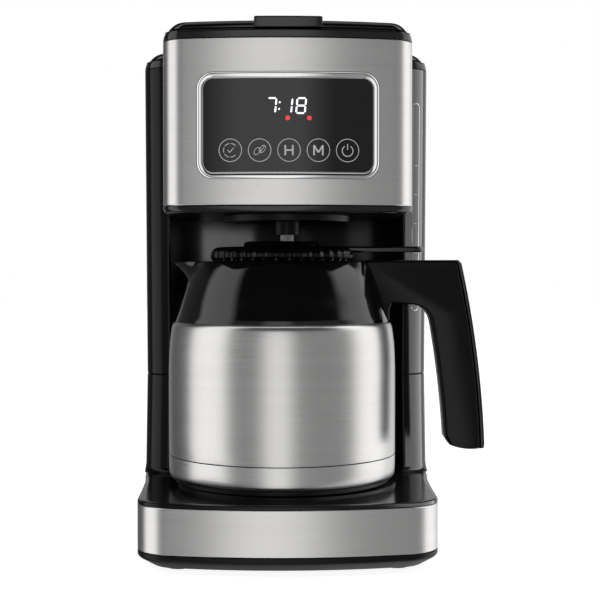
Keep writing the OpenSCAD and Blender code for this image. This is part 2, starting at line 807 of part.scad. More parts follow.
module top_frame() {
    color([0.03, 0.03, 0.03]) {
        difference() {
            crown(head_top + 0.1, frame_top, lid_inset - 0.4);
            slab(head_top - 1, frame_top + 1) rounded_plan(-head_hw + 7, head_hw - 7,
                -head_front + 9, recess_r, 12, 12);
            slab(head_top - 1, frame_top + 1) rounded_plan(-body_hw + 7, body_hw - 7,
                recess_r - 34, hinge_y - barrel_r - barrel_gap - 2, 12, 3);
            translate([-barrel_half - 12, hinge_y, hinge_z]) rotate([0, 90, 0])
                cylinder(r = barrel_r + barrel_gap, h = 2 * barrel_half + 24);
            translate([-barrel_half - 12, hinge_y - barrel_r - barrel_gap, hinge_z - 2])
                cube([2 * barrel_half + 24, 2 * barrel_r + 2 * barrel_gap, 10]);
        }
        for (s = [-1, 1]) difference() {
            translate([s * (barrel_half + 0.5 + ear_t / 2) - ear_t / 2, hinge_y, 0]) union() {
                translate([0, -barrel_r, head_top + 0.1])
                    cube([ear_t, 2 * barrel_r, hinge_z - head_top - 0.1]);
                translate([0, 0, hinge_z]) rotate([0, 90, 0]) cylinder(r = barrel_r - 1, h = ear_t);
            }
            translate([s * (barrel_half - 5) - (s < 0 ? 20 : 0), hinge_y, hinge_z]) rotate([0, 90, 0])
                cylinder(r = pin_r + fit_gap / 2, h = 20);
        }
    }
}

module lid_hinge_pins() {
    color("silver") for (s = [-1, 1])
        translate([s * (barrel_half - 10 + pin_len / 2), hinge_y, hinge_z]) rotate([0, 90, 0])
            cylinder(r = pin_r, h = pin_len, center = true);
}

module lid() {
    color([0.02, 0.02, 0.02]) difference() {
        union() {
            difference() {
                crown(lid_z, lid_top, lid_inset);
                crown(lid_z - 1, lid_top - lid_shell_t, lid_inset + 2.5);
                translate([-body_hw, hinge_y, lid_z - 1]) cube([2 * body_hw, rear_r, lid_h + 2]);
                for (s = [-1, 1]) translate([s * (barrel_half + 9) - 9, hinge_y - 11, lid_z - 1])
                    cube([18, 12, lid_h + 2]);
                tab_space(0.6);
            }
            translate([-barrel_half, hinge_y, hinge_z]) rotate([0, 90, 0])
                cylinder(r = barrel_r, h = 2 * barrel_half);
            translate([-barrel_half, hinge_y - 12, lid_top - lid_shell_t - eps])
                cube([2 * barrel_half, 12, lid_shell_t]);
        }
        for (s = [-1, 1]) translate([s > 0 ? barrel_half - 12 : -barrel_half - 1, hinge_y, hinge_z])
            rotate([0, 90, 0]) cylinder(r = pin_r + fit_gap, h = 13);
    }
}

tab_w = 44.3;
tab_d = 13;
tab_rise = 2.2;
module tab_space(gap) {
    translate([-tab_w / 2 - gap, -head_front - 3, lid_z - 1])
        cube([tab_w + 2 * gap, tab_d + 3 + gap, lid_h + 8]);
}

module lid_tab() {
    color([0.02, 0.02, 0.02]) translate([-tab_w / 2, -head_front - 0.8, lid_z]) difference() {
        cube([tab_w, tab_d + 0.8 + 0.6, lid_top + tab_rise - lid_z]);
        translate([2, 3, -1]) cube([tab_w - 4, tab_d - 4, lid_h - lid_shell_t]);
    }
}

// ---------- carafe ----------

// Solid of revolution about the carafe's axis.
module turned(points) {
    translate([carafe_x, 0, 0]) rotate_extrude($fn = 192) polygon(points);
}

// Outside of the collar, from the steel's shoulder to the mouth.
collar_line = arc3([collar_bottom_r, collar_z + 0.4], [(collar_bottom_r + collar_top_r) / 2 + 1.6,
    collar_z + collar_h / 2], [collar_top_r, collar_top], 10);

module carafe_foot() {
    z = seat_z + rest_gap;
    color([0.04, 0.04, 0.04]) turned([[carafe_r - 16, z], [carafe_r - 5.5, z],
        [carafe_r - 4.5, z + 1], [carafe_r - 4.5, cap_z], [carafe_r - 16, cap_z]]);
}

module carafe_cap() {
    t = steel_t;
    color([0.72, 0.71, 0.7]) turned([[0, cap_z], [carafe_r - 3, cap_z], [carafe_r - 0.9, cap_z + 0.9],
        [carafe_r - 0.2, cap_z + 3], [carafe_r, cap_z + cap_h - 0.3], [carafe_r - t, cap_z + cap_h - 0.3],
        [carafe_r - 0.2 - t, cap_z + 3], [carafe_r - 3, cap_z + t], [0, cap_z + t]]);
}

module carafe_shell() {
    t = steel_t;
    top = collar_z;
    outer = concat([[carafe_r, shell_z]],
        arc3([carafe_r, top - 34], [carafe_r - 0.8, top - 14], [carafe_r - 2.8, top - 2.4], 8),
        arc3([carafe_r - 3.3, top - 1.2], [carafe_r - 4.2, top - 0.3], [carafe_r - 5.6, top], 3),
        [[carafe_r - 9, top + 0.2], [neck_r + 5, collar_top - 8], [neck_r + 2.2, collar_top - 6]]);
    inner = [for (i = [len(outer) - 1:-1:1]) [outer[i].x - t * 1.1, outer[i].y - t * 0.6]];
    color([0.72, 0.71, 0.7]) turned(concat(outer, [[neck_r + 2.2 - t, collar_top - 6]], [for (p = inner) p],
        [[carafe_r - t, shell_z]]));
}

module carafe_liner() {
    t = steel_t;
    r = carafe_r - 5.5;
    z0 = cap_z + 5;
    color([0.75, 0.74, 0.73]) turned([[0, z0], [r - 5, z0], [r, z0 + 5], [r, collar_z - 10],
        [r - 3, collar_z - 4], [neck_r + 1.8, collar_top - 13], [neck_r + t, collar_top - 10],
        [neck_r + t, collar_top - 5.8], [neck_r + 2.2, collar_top - 5.8], [neck_r + 2.2, collar_top - 5],
        [neck_r, collar_top - 5], [neck_r, collar_top - 10.4], [neck_r + 0.8, collar_top - 13.6],
        [r - 3.8, collar_z - 4.5], [r - t, collar_z - 10.5], [r - t, z0 + 5.4],
        [r - 5.4, z0 + t], [0, z0 + t]]);
}

module collar_body() {
    inner = [for (i = [len(collar_line) - 1:-1:0]) [collar_line[i].x - collar_t, collar_line[i].y]];
    top_ring = [[mouth_r, collar_top], [mouth_r, collar_top - 4.8], [mouth_r + 1.8, collar_top - 4.8],
        [mouth_r + 1.8, collar_top - 2.6], [collar_top_r - collar_t + 0.8, collar_top - 2.6]];
    turned(concat(collar_line, top_ring, [for (i = [1:len(inner) - 1]) inner[i]]));
}

// Pouring beak: a wedge with an open channel, on the side away from the handle.
module beak(grow) {
    tip = collar_top_r + 14.7 - 3 * grow;
    hull() {
        translate([carafe_x - tip, -4 + grow, collar_top + 0.5]) cube([1, 8 - 2 * grow, 1.8 + 3 * grow]);
        translate([carafe_x - collar_top_r + 1, -17 + grow, collar_top - 7 + 2 * grow])
            cube([1 + 9 * grow, 34 - 2 * grow, 9 + 3 * grow]);
    }
}

module carafe_collar() {
    color([0.02, 0.02, 0.02]) {
        difference() {
            union() {
                collar_body();
                difference() {
                    beak(0);
                    turned([[0, collar_top - 20], [collar_top_r - collar_t + 3, collar_top - 20],
                        [collar_top_r - collar_t, collar_top + 3], [0, collar_top + 3]]);
                }
            }
            beak(1.6);
            handle_screw_place() cylinder(r = 1.5, h = 6);
            handle_screw_place() translate([0, 0, -4]) cylinder(r = 2.6, h = 4);
        }
    }
}

// Side view of the handle, as distances from the carafe's axis and heights.
hx = carafe_r - 80;
hz = collar_top - 203;
handle_line = concat(
    [[collar_top_r - 3, collar_top + 0.9], [122.6 + hx, 203.9 + hz]],
    arc3([126.2 + hx, 201.4 + hz], [135.7 + hx, 150 + hz], [142.7 + hx, 74 + hz], 14),
    arc3([142.2 + hx, 71 + hz], [129 + hx, 70.7 + hz], [118.4 + hx, 73.4 + hz], 5),
    arc3([114.9 + hx, 79 + hz], [111.4 + hx, 118.8 + hz], [105.9 + hx, 157 + hz], 8),
    arc3([105.3 + hx, 160 + hz], [100.4 + hx, 169 + hz], [90 + hx, 172.6 + hz], 6),
    [[77 + hx, 173.2 + hz], [75.4 + hx, 170 + hz], [75.2 + hx, 161.2 + hz],
        [collar_top_r - 3, 161.2 + hz]]);
spine_t = 3;
spine_line = concat(
    arc3([126.2 - spine_t + hx, 201.4 + hz], [135.7 - spine_t + hx, 150 + hz],
        [142.7 - spine_t + hx, 74 + hz], 14),
    [[150 + hx, 74 + hz], [150 + hx, 201.4 + hz]]);

module handle_solid(w, line) {
    translate([carafe_x, w / 2, 0]) rotate([90, 0, 0]) linear_extrude(w) polygon(line);
}

module carafe_handle() {
    color([0.02, 0.02, 0.02]) difference() {
        handle_solid(handle_w, handle_line);
        turned(concat([[0, collar_z - 5], [collar_bottom_r + 0.05, collar_z - 5]],
            [for (p = collar_line) [p.x + 0.05, p.y]],
            [[collar_top_r + 0.05, collar_top + 2], [0, collar_top + 2]]));
        handle_solid(handle_w + 2, spine_line);
        handle_screw_place() cylinder(r = 1.45, h = 17);
    }
}

module handle_spine() {
    color([0.03, 0.03, 0.03]) intersection() {
        handle_solid(handle_w, handle_line);
        handle_solid(handle_w + 2, [for (p = spine_line) [p.x + 0.05, p.y]]);
    }
}

// Screw from inside the collar, through its wall and into the handle's root.
handle_screw_r = collar_line[6].x - collar_t - 0.2;
module handle_screw_place() {
    translate([carafe_x + handle_screw_r, 0, collar_line[6].y]) rotate([0, 90, 0]) children();
}

module handle_screw() {
    color("silver") handle_screw_place() {
        translate([0, 0, -0.6]) cylinder(r = 1.4, h = 16.6);
        translate([0, 0, -1.2]) cylinder(r = 2.4, h = 1.2);
    }
}

// ---------- carafe lid ----------

module lid_place(z = 0) {
    translate([carafe_x, 0, z]) children();
}

module carafe_lid() {
    slot_x = 4;
    color([0.03, 0.03, 0.03]) lid_place() difference() {
        union() {
            translate([0, 0, collar_top + 0.2]) cylinder(r = lid_r, h = lid_disc_h - 0.2);
            translate([0, 0, lid_disc_top - eps]) cylinder(r = boss_r, h = boss_h);
            translate([0, 0, plug_z]) cylinder(r = plug_r, h = collar_top - plug_z + 1);
        }
        translate([0, 0, plug_z + 2]) cylinder(r = plug_r - 2, h = collar_top - plug_z - 0.4);
        translate([0, 0, plug_z - 1]) cylinder(r = seat_hole_r, h = 5);
        translate([0, 0, collar_top - 1]) cylinder(r = stopper_r + 0.6, h = 30);
        translate([0, 0, lever_z - 2.4]) cylinder(r = 17, h = 30);
        translate([slot_x, -lever_w / 2 - 0.5, lever_z - 1.4]) cube([lid_r, lever_w + 1, 30]);
        for (a = [60:60:300]) rotate([0, 0, a]) translate([12, 0, collar_top - 1])
            cylinder(r = 2.5, h = 12);
        translate([lever_pivot_x, 0, lever_pin_z]) rotate([90, 0, 0])
            cylinder(r = pin_r + fit_gap / 2, h = 22, center = true);
        translate([0, 0, plug_z + 5.4]) pipe(plug_r + 1, plug_r - 1.5, 3.2);
    }
}

module lid_gasket() {
    color([0.75, 0.3, 0.2]) lid_place(plug_z + 5.5) pipe(neck_r - 0.3, plug_r - 1.45, 3);
}

module lever_pin() {
    color("silver") lid_place(lever_pin_z) translate([lever_pivot_x, 0, 0]) rotate([90, 0, 0])
        cylinder(r = pin_r, h = 21, center = true);
}

module lid_lever() {
    tip = lever_tip_x;
    color([0.03, 0.03, 0.03]) lid_place() difference() {
        union() {
            translate([lever_pivot_x - 4, -lever_w / 2, lever_z])
                cube([tip - lever_pivot_x - 3, lever_w, lever_t]);
            translate([tip - lever_w / 2, 0, lever_z]) cylinder(r = lever_w / 2, h = lever_t);
            translate([0, -lever_w / 2 + 1, lever_z]) cube([lever_pivot_x, lever_w - 2, lever_t - 1.6]);
        }
        translate([0, 0, lever_z - 1]) cylinder(r = stopper_r + 1, h = lever_t + 2);
        translate([-1, -stopper_r - 1, lever_z - 1]) cube([2, 2 * stopper_r + 2, lever_t + 2]);
        translate([lever_pivot_x, 0, lever_pin_z]) rotate([90, 0, 0])
            cylinder(r = pin_r + fit_gap, h = lever_w + 2, center = true);
    }
}

flange_z = lever_z + lever_t - 1.6 + 0.2;
module lid_stopper() {
    color([0.9, 0.9, 0.88]) lid_place() {
        translate([0, 0, plug_z + 2.2]) cylinder(r = stopper_r, h = flange_z - plug_z - 2.2);
        translate([0, 0, plug_z + 2.1]) cylinder(r = 11, h = 2.6);
        translate([0, 0, flange_z - eps]) cylinder(r = stopper_flange_r, h = 1.4);
    }
}

module stopper_spring() {
    z0 = plug_z + 4.8;
    color("silver") lid_place(z0) spring(6.5, 0.9, collar_top + 1.55 - z0, 4);
}

bottom_cover();
feet();
base_screws();
base_band();
base_housing();
carafe_seat();
cord_gland();
heater();
heater_clamps();
thermostat();
thermal_fuse();
power_board();
power_board_parts();
inlet_tube();
check_valve_body();
check_ball();
riser_tube();
wire_harness();
rear_housing();
housing_screws();
tank();
tank_seal();
level_window();
head_housing();
head_trim();
front_panel();
panel_bezel();
control_glass();
display_module();
control_board();
board_screws();
brew_basket();
permanent_filter();
valve_plunger();
valve_seal();
valve_spring();
spray_arm();
spray_head();
top_frame();
lid();
lid_tab();
lid_hinge_pins();
carafe_foot();
carafe_cap();
carafe_shell();
carafe_liner();
carafe_collar();
carafe_handle();
handle_spine();
handle_screw();
carafe_lid();
lid_gasket();
lever_pin();
lid_lever();
lid_stopper();
stopper_spring();
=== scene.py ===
import json
from math import asin, atan2, cos, degrees, pi, radians, sin, sqrt

import bmesh
import bpy
from mathutils import Matrix, Vector


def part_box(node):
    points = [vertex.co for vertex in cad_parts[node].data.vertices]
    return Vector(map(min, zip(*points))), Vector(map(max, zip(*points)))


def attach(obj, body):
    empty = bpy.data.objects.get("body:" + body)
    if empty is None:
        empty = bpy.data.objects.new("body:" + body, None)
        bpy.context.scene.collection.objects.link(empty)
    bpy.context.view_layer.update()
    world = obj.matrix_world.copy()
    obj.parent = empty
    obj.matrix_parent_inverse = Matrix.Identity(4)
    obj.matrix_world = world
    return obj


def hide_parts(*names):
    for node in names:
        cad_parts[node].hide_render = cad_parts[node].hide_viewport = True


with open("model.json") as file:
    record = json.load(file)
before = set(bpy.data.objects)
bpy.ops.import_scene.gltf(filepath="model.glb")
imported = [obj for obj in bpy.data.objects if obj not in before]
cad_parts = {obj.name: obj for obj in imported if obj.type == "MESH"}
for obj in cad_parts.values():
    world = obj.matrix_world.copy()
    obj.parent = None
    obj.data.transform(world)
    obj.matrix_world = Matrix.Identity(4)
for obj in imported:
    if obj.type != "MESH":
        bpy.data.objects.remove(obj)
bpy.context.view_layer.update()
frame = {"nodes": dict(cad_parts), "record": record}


# ---- Studio ----
# Pale floor in a dark studio: a soft box behind the camera, a tall one on each side and one overhead. They
# are part of the surround, given as brightness by compass angle near the horizon and higher up. One more
# soft box lights only the column. The floor doesn't show in reflections.
FLOOR_GREY = (0.55, 0.55, 0.55, 1)
LOW_BOXES = ((-180, 0.5), (-160, 0.4), (-148, 0.1), (-108, 0.1), (-101, 1.3), (-62, 1.3), (-52, 0.26),
             (-24, 0.28), (-14, 1.1), (4, 1.15), (13, 0.32), (70, 0.3), (86, 1.4), (120, 1.4), (130, 0.9),
             (150, 0.9), (180, 0.5))
HIGH_BOXES = ((-180, 0.03), (-108, 0.03), (-98, 1.3), (-64, 1.3), (-54, 0.03), (66, 0.03), (78, 1.6),
              (112, 1.6), (118, 0.05), (180, 0.03))
HIGH_FROM, HIGH_TO = 0.36, 0.5
TOP_BOX_FROM, TOP_BOX_TO = 0.86, 0.94
TOP_BOX_GREY = (0.9, 0.9, 0.9, 1)
FOCAL_LENGTH = 77.4


class Val:
    """A socket of one node tree: arithmetic on it adds Math nodes, and node() adds any other node."""

    def __init__(self, tree, socket):
        self.tree = tree
        self.socket = socket

    def node(self, kind, settings=None, out=0, **inputs):
        made = self.tree.nodes.new(kind)
        for key, value in (settings or {}).items():
            if key == "stops":
                ramp = made.color_ramp.elements
                while len(ramp) < len(value):
                    ramp.new(0.5)
                for stop, (position, grey) in zip(ramp, value):
                    stop.position = position
                    stop.color = (grey, grey, grey, 1)
            else:
                setattr(made, key, value)
        for key, value in inputs.items():
            name = int(key[1:]) if key[0] == "i" and key[1:].isdigit() else key.replace("_", " ")
            socket = made.inputs[name]
            if isinstance(value, Val):
                self.tree.links.new(value.socket, socket)
            else:
                socket.default_value = value
        return Val(self.tree, made.outputs[out]) if made.outputs else made

    def math(self, operation, a, b=0.0):
        return self.node("ShaderNodeMath", {"operation": operation}, i0=a, i1=b)

    def __add__(self, other):
        return self.math("ADD", self, other)

    def __sub__(self, other):
        return self.math("SUBTRACT", self, other)

    def __rsub__(self, other):
        return self.math("SUBTRACT", other, self)

    def __mul__(self, other):
        return self.math("MULTIPLY", self, other)

    __radd__ = __add__
    __rmul__ = __mul__


world = bpy.data.worlds.new("surround")
bpy.context.scene.world = world
world.use_nodes = True
world.node_tree.nodes.clear()
sky = Val(world.node_tree, None)
way = sky.node("ShaderNodeTexCoord", out="Generated")
along = [way.node("ShaderNodeSeparateXYZ", out=axis, Vector=way) for axis in "XYZ"]
turn = along[0].math("ARCTAN2", along[0], 0 - along[1]) * (0.5 / pi) + 0.5
low, high = [turn.node("ShaderNodeValToRGB", {"stops": [(d / 360 + 0.5, grey) for d, grey in boxes]},
                       Fac=turn) for boxes in (LOW_BOXES, HIGH_BOXES)]
rise, crest = [along[2].node("ShaderNodeMapRange", {"interpolation_type": "SMOOTHSTEP"}, Value=along[2],
                             From_Min=start, From_Max=end)
               for start, end in ((HIGH_FROM, HIGH_TO), (TOP_BOX_FROM, TOP_BOX_TO))]
sides = rise.node("ShaderNodeMix", {"data_type": "RGBA"}, out=2, i0=rise, i6=low, i7=high)
around = crest.node("ShaderNodeMix", {"data_type": "RGBA"}, out=2, i0=crest, i6=sides, i7=TOP_BOX_GREY)
seen = sky.node("ShaderNodeBackground", Color=(1, 1, 1, 1), Strength=1.0)
reflected = sky.node("ShaderNodeBackground", Color=around, Strength=1.0)
to_eye = sky.node("ShaderNodeLightPath", out="Is Camera Ray")
sky.node("ShaderNodeOutputWorld", Surface=sky.node("ShaderNodeMixShader", i0=to_eye, i1=reflected, i2=seen))
bpy.context.scene.view_settings.view_transform = "Standard"

lamp = bpy.data.lights.new("side_reflector", "AREA")
lamp.shape = "RECTANGLE"
lamp.size = 1.5
lamp.size_y = 1.5
lamp.energy = 42
reflector = bpy.data.objects.new("side_reflector", lamp)
reflector.location = (0.78, -0.18, 0.25)
aim = Vector((0.1, 0.06, 0.22)) - reflector.location
reflector.rotation_euler = aim.to_track_quat("-Z", "Y").to_euler()
bpy.context.scene.collection.objects.link(reflector)
column_pieces = bpy.data.collections.new("column_pieces")
reflector.light_linking.receiver_collection = column_pieces

bm = bmesh.new()
bmesh.ops.create_grid(bm, x_segments=1, y_segments=1, size=6)
floor_mesh = bpy.data.meshes.new("floor")
bm.to_mesh(floor_mesh)
bm.free()
floor = bpy.data.objects.new("floor", floor_mesh)
bpy.context.scene.collection.objects.link(floor)
floor.visible_glossy = False
paper = bpy.data.materials.new("floor_paper")
paper.use_nodes = True
paper_shader = paper.node_tree.nodes["Principled BSDF"]
paper_shader.inputs["Base Color"].default_value = FLOOR_GREY
paper_shader.inputs["Roughness"].default_value = 0.9
paper_shader.inputs["Emission Strength"].default_value = 0.9
glow = Val(paper.node_tree, None).node("ShaderNodeLightPath", out="Is Camera Ray")
paper.node_tree.links.new(glow.socket, paper_shader.inputs["Emission Color"])
floor.data.materials.append(paper)

camera_data = bpy.data.cameras.new("camera")
camera_data.sensor_width = 36
camera_data.lens = FOCAL_LENGTH
camera = bpy.data.objects.new("camera", camera_data)
camera.location = (-0.0093, -0.915, 0.1954)
camera.rotation_euler = (radians(90 - 1.24), 0, radians(-1.16))
bpy.context.scene.collection.objects.link(camera)
bpy.context.scene.camera = camera


# ---- Finishes ----
# Brushed stainless steel, gloss, soft gloss and satin black plastic, chrome, rubber and the plain plastics,
# boards and metals inside. Every finish varies a little over its surface, as rolled and moulded stock does.
def finish(name, colour, rough, metal=0.0, coat=0.0):
    """A material with a principled shader, and the tree's object coordinates to vary it with."""
    made = bpy.data.materials.new(name)
    made.use_nodes = True
    tree = made.node_tree
    shader = tree.nodes["Principled BSDF"]
    shader.inputs["Base Color"].default_value = (*colour, 1)
    shader.inputs["Roughness"].default_value = rough
    shader.inputs["Metallic"].default_value = metal
    shader.inputs["Coat Weight"].default_value = coat
    return made, shader, Val(tree, None).node("ShaderNodeTexCoord", out="Object")


def noise(at, scale, detail=2.0, rough=0.5, stretch=(1, 1, 1)):
    moved = at.node("ShaderNodeMapping", Vector=at, Scale=stretch)
    return at.node("ShaderNodeTexNoise", Vector=moved, Scale=scale, Detail=detail, Roughness=rough)


def feed(shader, socket, value):
    value.tree.links.new(value.socket, shader.inputs[socket])


def tint(value, dark, light):
    return value.node("ShaderNodeMix", {"data_type": "RGBA"}, out=2, i0=value, i6=(*dark, 1), i7=(*light, 1))


def brushed(name, stroke, dark, light, rough, depth=0.12):
    """Metal brushed along one axis: stroke is the stretch of the grain along X, Y and Z."""
    made, shader, here = finish(name, light, rough, metal=1.0)
    fine = noise(here, 1100, 3, 0.65, stroke)
    broad = noise(here, 260, 2, 0.5, stroke)
    cloud = noise(here, 9)
    feed(shader, "Base Color", tint(fine * 0.5 + broad * 0.3 + cloud * 0.2, dark, light))
    feed(shader, "Roughness", rough - 0.08 + fine * 0.11 + cloud * 0.05)
    feed(shader, "Normal", here.node("ShaderNodeBump", Height=fine + broad, Strength=depth, Distance=0.00015))
    return made


def plastic(name, colour, rough, grain_scale, grain_depth, shine=0.35):
    """Moulded plastic: a fine skin grain, faint flow clouds and a slightly uneven sheen."""
    made, shader, here = finish(name, colour, rough)
    shader.inputs["Specular IOR Level"].default_value = shine
    flow = noise(here, 22, 3)
    dark, light = [tuple(share * c for c in colour) for share in (0.8, 1.25)]
    feed(shader, "Base Color", tint(flow, dark, light))
    feed(shader, "Roughness", rough * 0.8 + flow * (rough * 0.4))
    skin_grain = noise(here, grain_scale)
    bump = here.node("ShaderNodeBump", Height=skin_grain, Strength=grain_depth, Distance=0.0001)
    feed(shader, "Normal", bump)
    return made


STEEL_DARK, STEEL_LIGHT = (0.57, 0.563, 0.557), (0.79, 0.782, 0.773)
steel_band = brushed("steel_band", (0.03, 0.03, 1.0), STEEL_DARK, STEEL_LIGHT, 0.30)
gloss_black = plastic("gloss_black", (0.003, 0.003, 0.0032), 0.09, 500, 0.02, 0.6)
column_black = plastic("column_black", (0.004, 0.004, 0.0042), 0.16, 900, 0.03, 0.2)
satin_black = plastic("satin_black", (0.004, 0.004, 0.0042), 0.36, 2600, 0.12, 0.2)
rubber = plastic("rubber", (0.02, 0.02, 0.02), 0.75, 1200, 0.3)
white_plastic = plastic("white_plastic", (0.8, 0.8, 0.78), 0.35, 1500, 0.1)
ceramic = plastic("ceramic", (0.78, 0.76, 0.7), 0.5, 1500, 0.2)
silicone = plastic("silicone", (0.6, 0.2, 0.12), 0.45, 900, 0.1)
milky_silicone = plastic("milky_silicone", (0.75, 0.73, 0.68), 0.4, 900, 0.1)
board_green = plastic("board_green", (0.03, 0.16, 0.06), 0.35, 700, 0.2)
component_blue = plastic("component_blue", (0.06, 0.14, 0.36), 0.4, 900, 0.1)
wire_black = plastic("wire_black", (0.02, 0.02, 0.02), 0.5, 900, 0.1)
cast_aluminium = brushed("cast_aluminium", (1, 1, 1), (0.55, 0.55, 0.55), (0.75, 0.75, 0.75), 0.4)
bright_steel = brushed("bright_steel", (1, 1, 1), (0.5, 0.5, 0.5), (0.68, 0.68, 0.68), 0.25, 0.1)
gold_mesh = brushed("gold_mesh", (1, 1, 1), (0.5, 0.33, 0.1), (0.85, 0.62, 0.25), 0.35)
chrome, chrome_shader, here = finish("chrome", (0.78, 0.78, 0.78), 0.06, metal=1.0)
feed(chrome_shader, "Roughness", 0.06 + noise(here, 60, 3) * 0.08)
clear_plastic, clear_shader, here = finish("clear_plastic", (0.42, 0.44, 0.46), 0.12)
clear_shader.inputs["Alpha"].default_value = 0.55
feed(clear_shader, "Roughness", 0.08 + noise(here, 40, 3) * 0.1)

INSIDE = {
    "black_satin": satin_black, "rubber": rubber, "steel_parts": bright_steel, "brushed_steel": steel_band,
    "black_gloss": gloss_black, "aluminium": cast_aluminium, "ceramic": ceramic, "board": board_green,
    "components": component_blue, "clear_silicone": milky_silicone, "white_plastic": white_plastic,
    "wire": wire_black, "clear_plastic": clear_plastic, "silicone": silicone, "chrome_trim": chrome,
    "black_glass": gloss_black, "gold_mesh": gold_mesh}
for part in frame["record"]["subparts"]:
    node = frame["nodes"][part["node"]]
    node.data.materials.clear()
    node.data.materials.append(INSIDE[part["material_slot"]])


# ---- Bottom cover ----
# Injection-moulded satin black tray that closes the base. Its wall slopes in towards the table, so the
# machine seems to float on its rubber feet; screws hold it up to the base moulding.
BODY_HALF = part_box("rear_housing")[1][0]
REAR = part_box("rear_housing")[1][1]
BASE_FRONT = -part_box("base_band")[0][1]
BASE_HALF = BODY_HALF - 0.0066
BASE_BOW = 0.330
BASE_CORNER = 0.027
REAR_CORNER = 0.030
POST_Y = 0.044
POST_CORNER = 0.022
RECESS = 0.098
FOOT_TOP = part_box("bottom_cover")[0][2]
COVER_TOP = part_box("base_band")[0][2]
BAND_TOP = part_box("base_band")[1][2]
DECK = BAND_TOP + 0.0028


def trace(bm, start, *moves):
    """Chain of vertices drawn from start: a pair goes straight to a point, and a triple (centre, degrees,
    steps) turns about a centre, clockwise if the angle is negative."""
    chain = [bm.verts.new((*start, 0))]
    for move in moves:
        for _ in range(1 if len(move) == 2 else move[2]):
            last = bmesh.ops.extrude_vert_indiv(bm, verts=[chain[-1]])["verts"][0]
            if len(move) == 2:
                last.co = (*move, 0)
            else:
                bmesh.ops.rotate(bm, cent=(*move[0], 0), verts=[last],
                                 matrix=Matrix.Rotation(radians(move[1] / move[2]), 3, "Z"))
            chain.append(last)
    return chain


def close(bm, chain):
    """Joins a chain's last vertex to its first, or merges the two where they meet."""
    if (chain[0].co - chain[-1].co).length < 1e-6:
        bmesh.ops.pointmerge(bm, verts=[chain[0], chain[-1]], merge_co=chain[0].co)
        return [v for v in chain if v.is_valid]
    bmesh.ops.contextual_create(bm, geom=[chain[0], chain[-1]])
    return chain


def mitres(points, closed):
    """Outward mitre and outward normal at each point of a clockwise plan."""
    found = []
    for i, p in enumerate(points):
        sides = []
        if closed or i > 0:
            sides.append(p - points[i - 1])
        if closed or i < len(points) - 1:
            sides.append(points[(i + 1) % len(points)] - p)
        normals = [Vector((-s.y, s.x)).normalized() for s in sides]
        middle = sum(normals, Vector((0, 0))).normalized()
        found.append((middle / max(0.35, middle.dot(normals[0])), middle))
    return found


def skin(bm, chain, rings, closed=True):
    """Raises a plan chain through rings of (outward offset, height), where a ring may be a function of
    the outward normal. Returns the chain of each ring."""
    plan = [v.co.xy.copy() for v in chain]
    outward = mitres(plan, closed)
    edges = [e for e in {e for v in chain for e in v.link_edges}
             if e.verts[0] in chain and e.verts[1] in chain]
    loops = []
    for number, ring in enumerate(rings):
        if number:
            made = bmesh.ops.extrude_edge_only(bm, edges=edges)["geom"]
            fresh = {g for g in made if isinstance(g, bmesh.types.BMVert)}
            chain = [next(e.other_vert(v) for e in v.link_edges if e.other_vert(v) in fresh) for v in chain]
            edges = [g for g in made if isinstance(g, bmesh.types.BMEdge)
                     and g.verts[0] in fresh and g.verts[1] in fresh]
        for v, p, (mitre, normal) in zip(chain, plan, outward):
            offset, height = ring(normal) if callable(ring) else ring
            v.co = (*(p + mitre * offset), height)
        loops.append(chain)
    return loops


def cap(bm, chain):
    edges = [e for e in {e for v in chain for e in v.link_edges}
             if e.verts[0] in chain and e.verts[1] in chain and len(e.link_faces) < 2]
    return bmesh.ops.edgeloop_fill(bm, edges=edges)["faces"]


def piece(name, bm, material, body, replaces=(), sharp=32, recalc=True):
    """Turns a bmesh into a finished piece that rides on a body."""
    bmesh.ops.remove_doubles(bm, verts=bm.verts, dist=1e-6)
    if recalc:
        bmesh.ops.recalc_face_normals(bm, faces=bm.faces)
    mesh = bpy.data.meshes.new(name)
    bm.to_mesh(mesh)
    bm.free()
    mesh.shade_smooth()
    mesh.set_sharp_from_angle(angle=radians(sharp))
    mesh.materials.append(material)
    ob = bpy.data.objects.new(name, mesh)
    bpy.context.scene.collection.objects.link(ob)
    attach(ob, body)
    if replaces:
        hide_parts(*replaces)
    return ob


def bowed(half, front, bow, corner):
    """Start and moves of a bowed front: right corner, one shallow arc, left corner."""
    cy = bow - front
    corner_y = cy - sqrt((bow - corner) ** 2 - (half - corner) ** 2)
    side = degrees(atan2(corner_y - cy, half - corner))
    return (half, corner_y), [((half - corner, corner_y), side, 16), ((0, cy), -180 - 2 * side, 64),
                              ((corner - half, corner_y), side, 16)]


def base_side(s):
    return [(s * (BASE_HALF + 0.0042), 0.035), (s * (BASE_HALF + 0.0019), 0.012),
            (s * (BASE_HALF + 0.0006), -0.03)]


def rear_corners():
    rear_y = REAR - REAR_CORNER
    return [((REAR_CORNER - BODY_HALF, rear_y), -90, 14), (BODY_HALF - REAR_CORNER, REAR),
            ((BODY_HALF - REAR_CORNER, rear_y), -90, 14)]


def base_plan(bm):
    start, moves = bowed(BASE_HALF, BASE_FRONT, BASE_BOW, BASE_CORNER)
    side_y = POST_Y + POST_CORNER
    return close(bm, trace(bm, (BODY_HALF, REAR - REAR_CORNER), (BODY_HALF, side_y), *base_side(1), start,
                           *moves, *base_side(-1)[::-1], (-BODY_HALF, side_y),
                           (-BODY_HALF, REAR - REAR_CORNER), *rear_corners()))


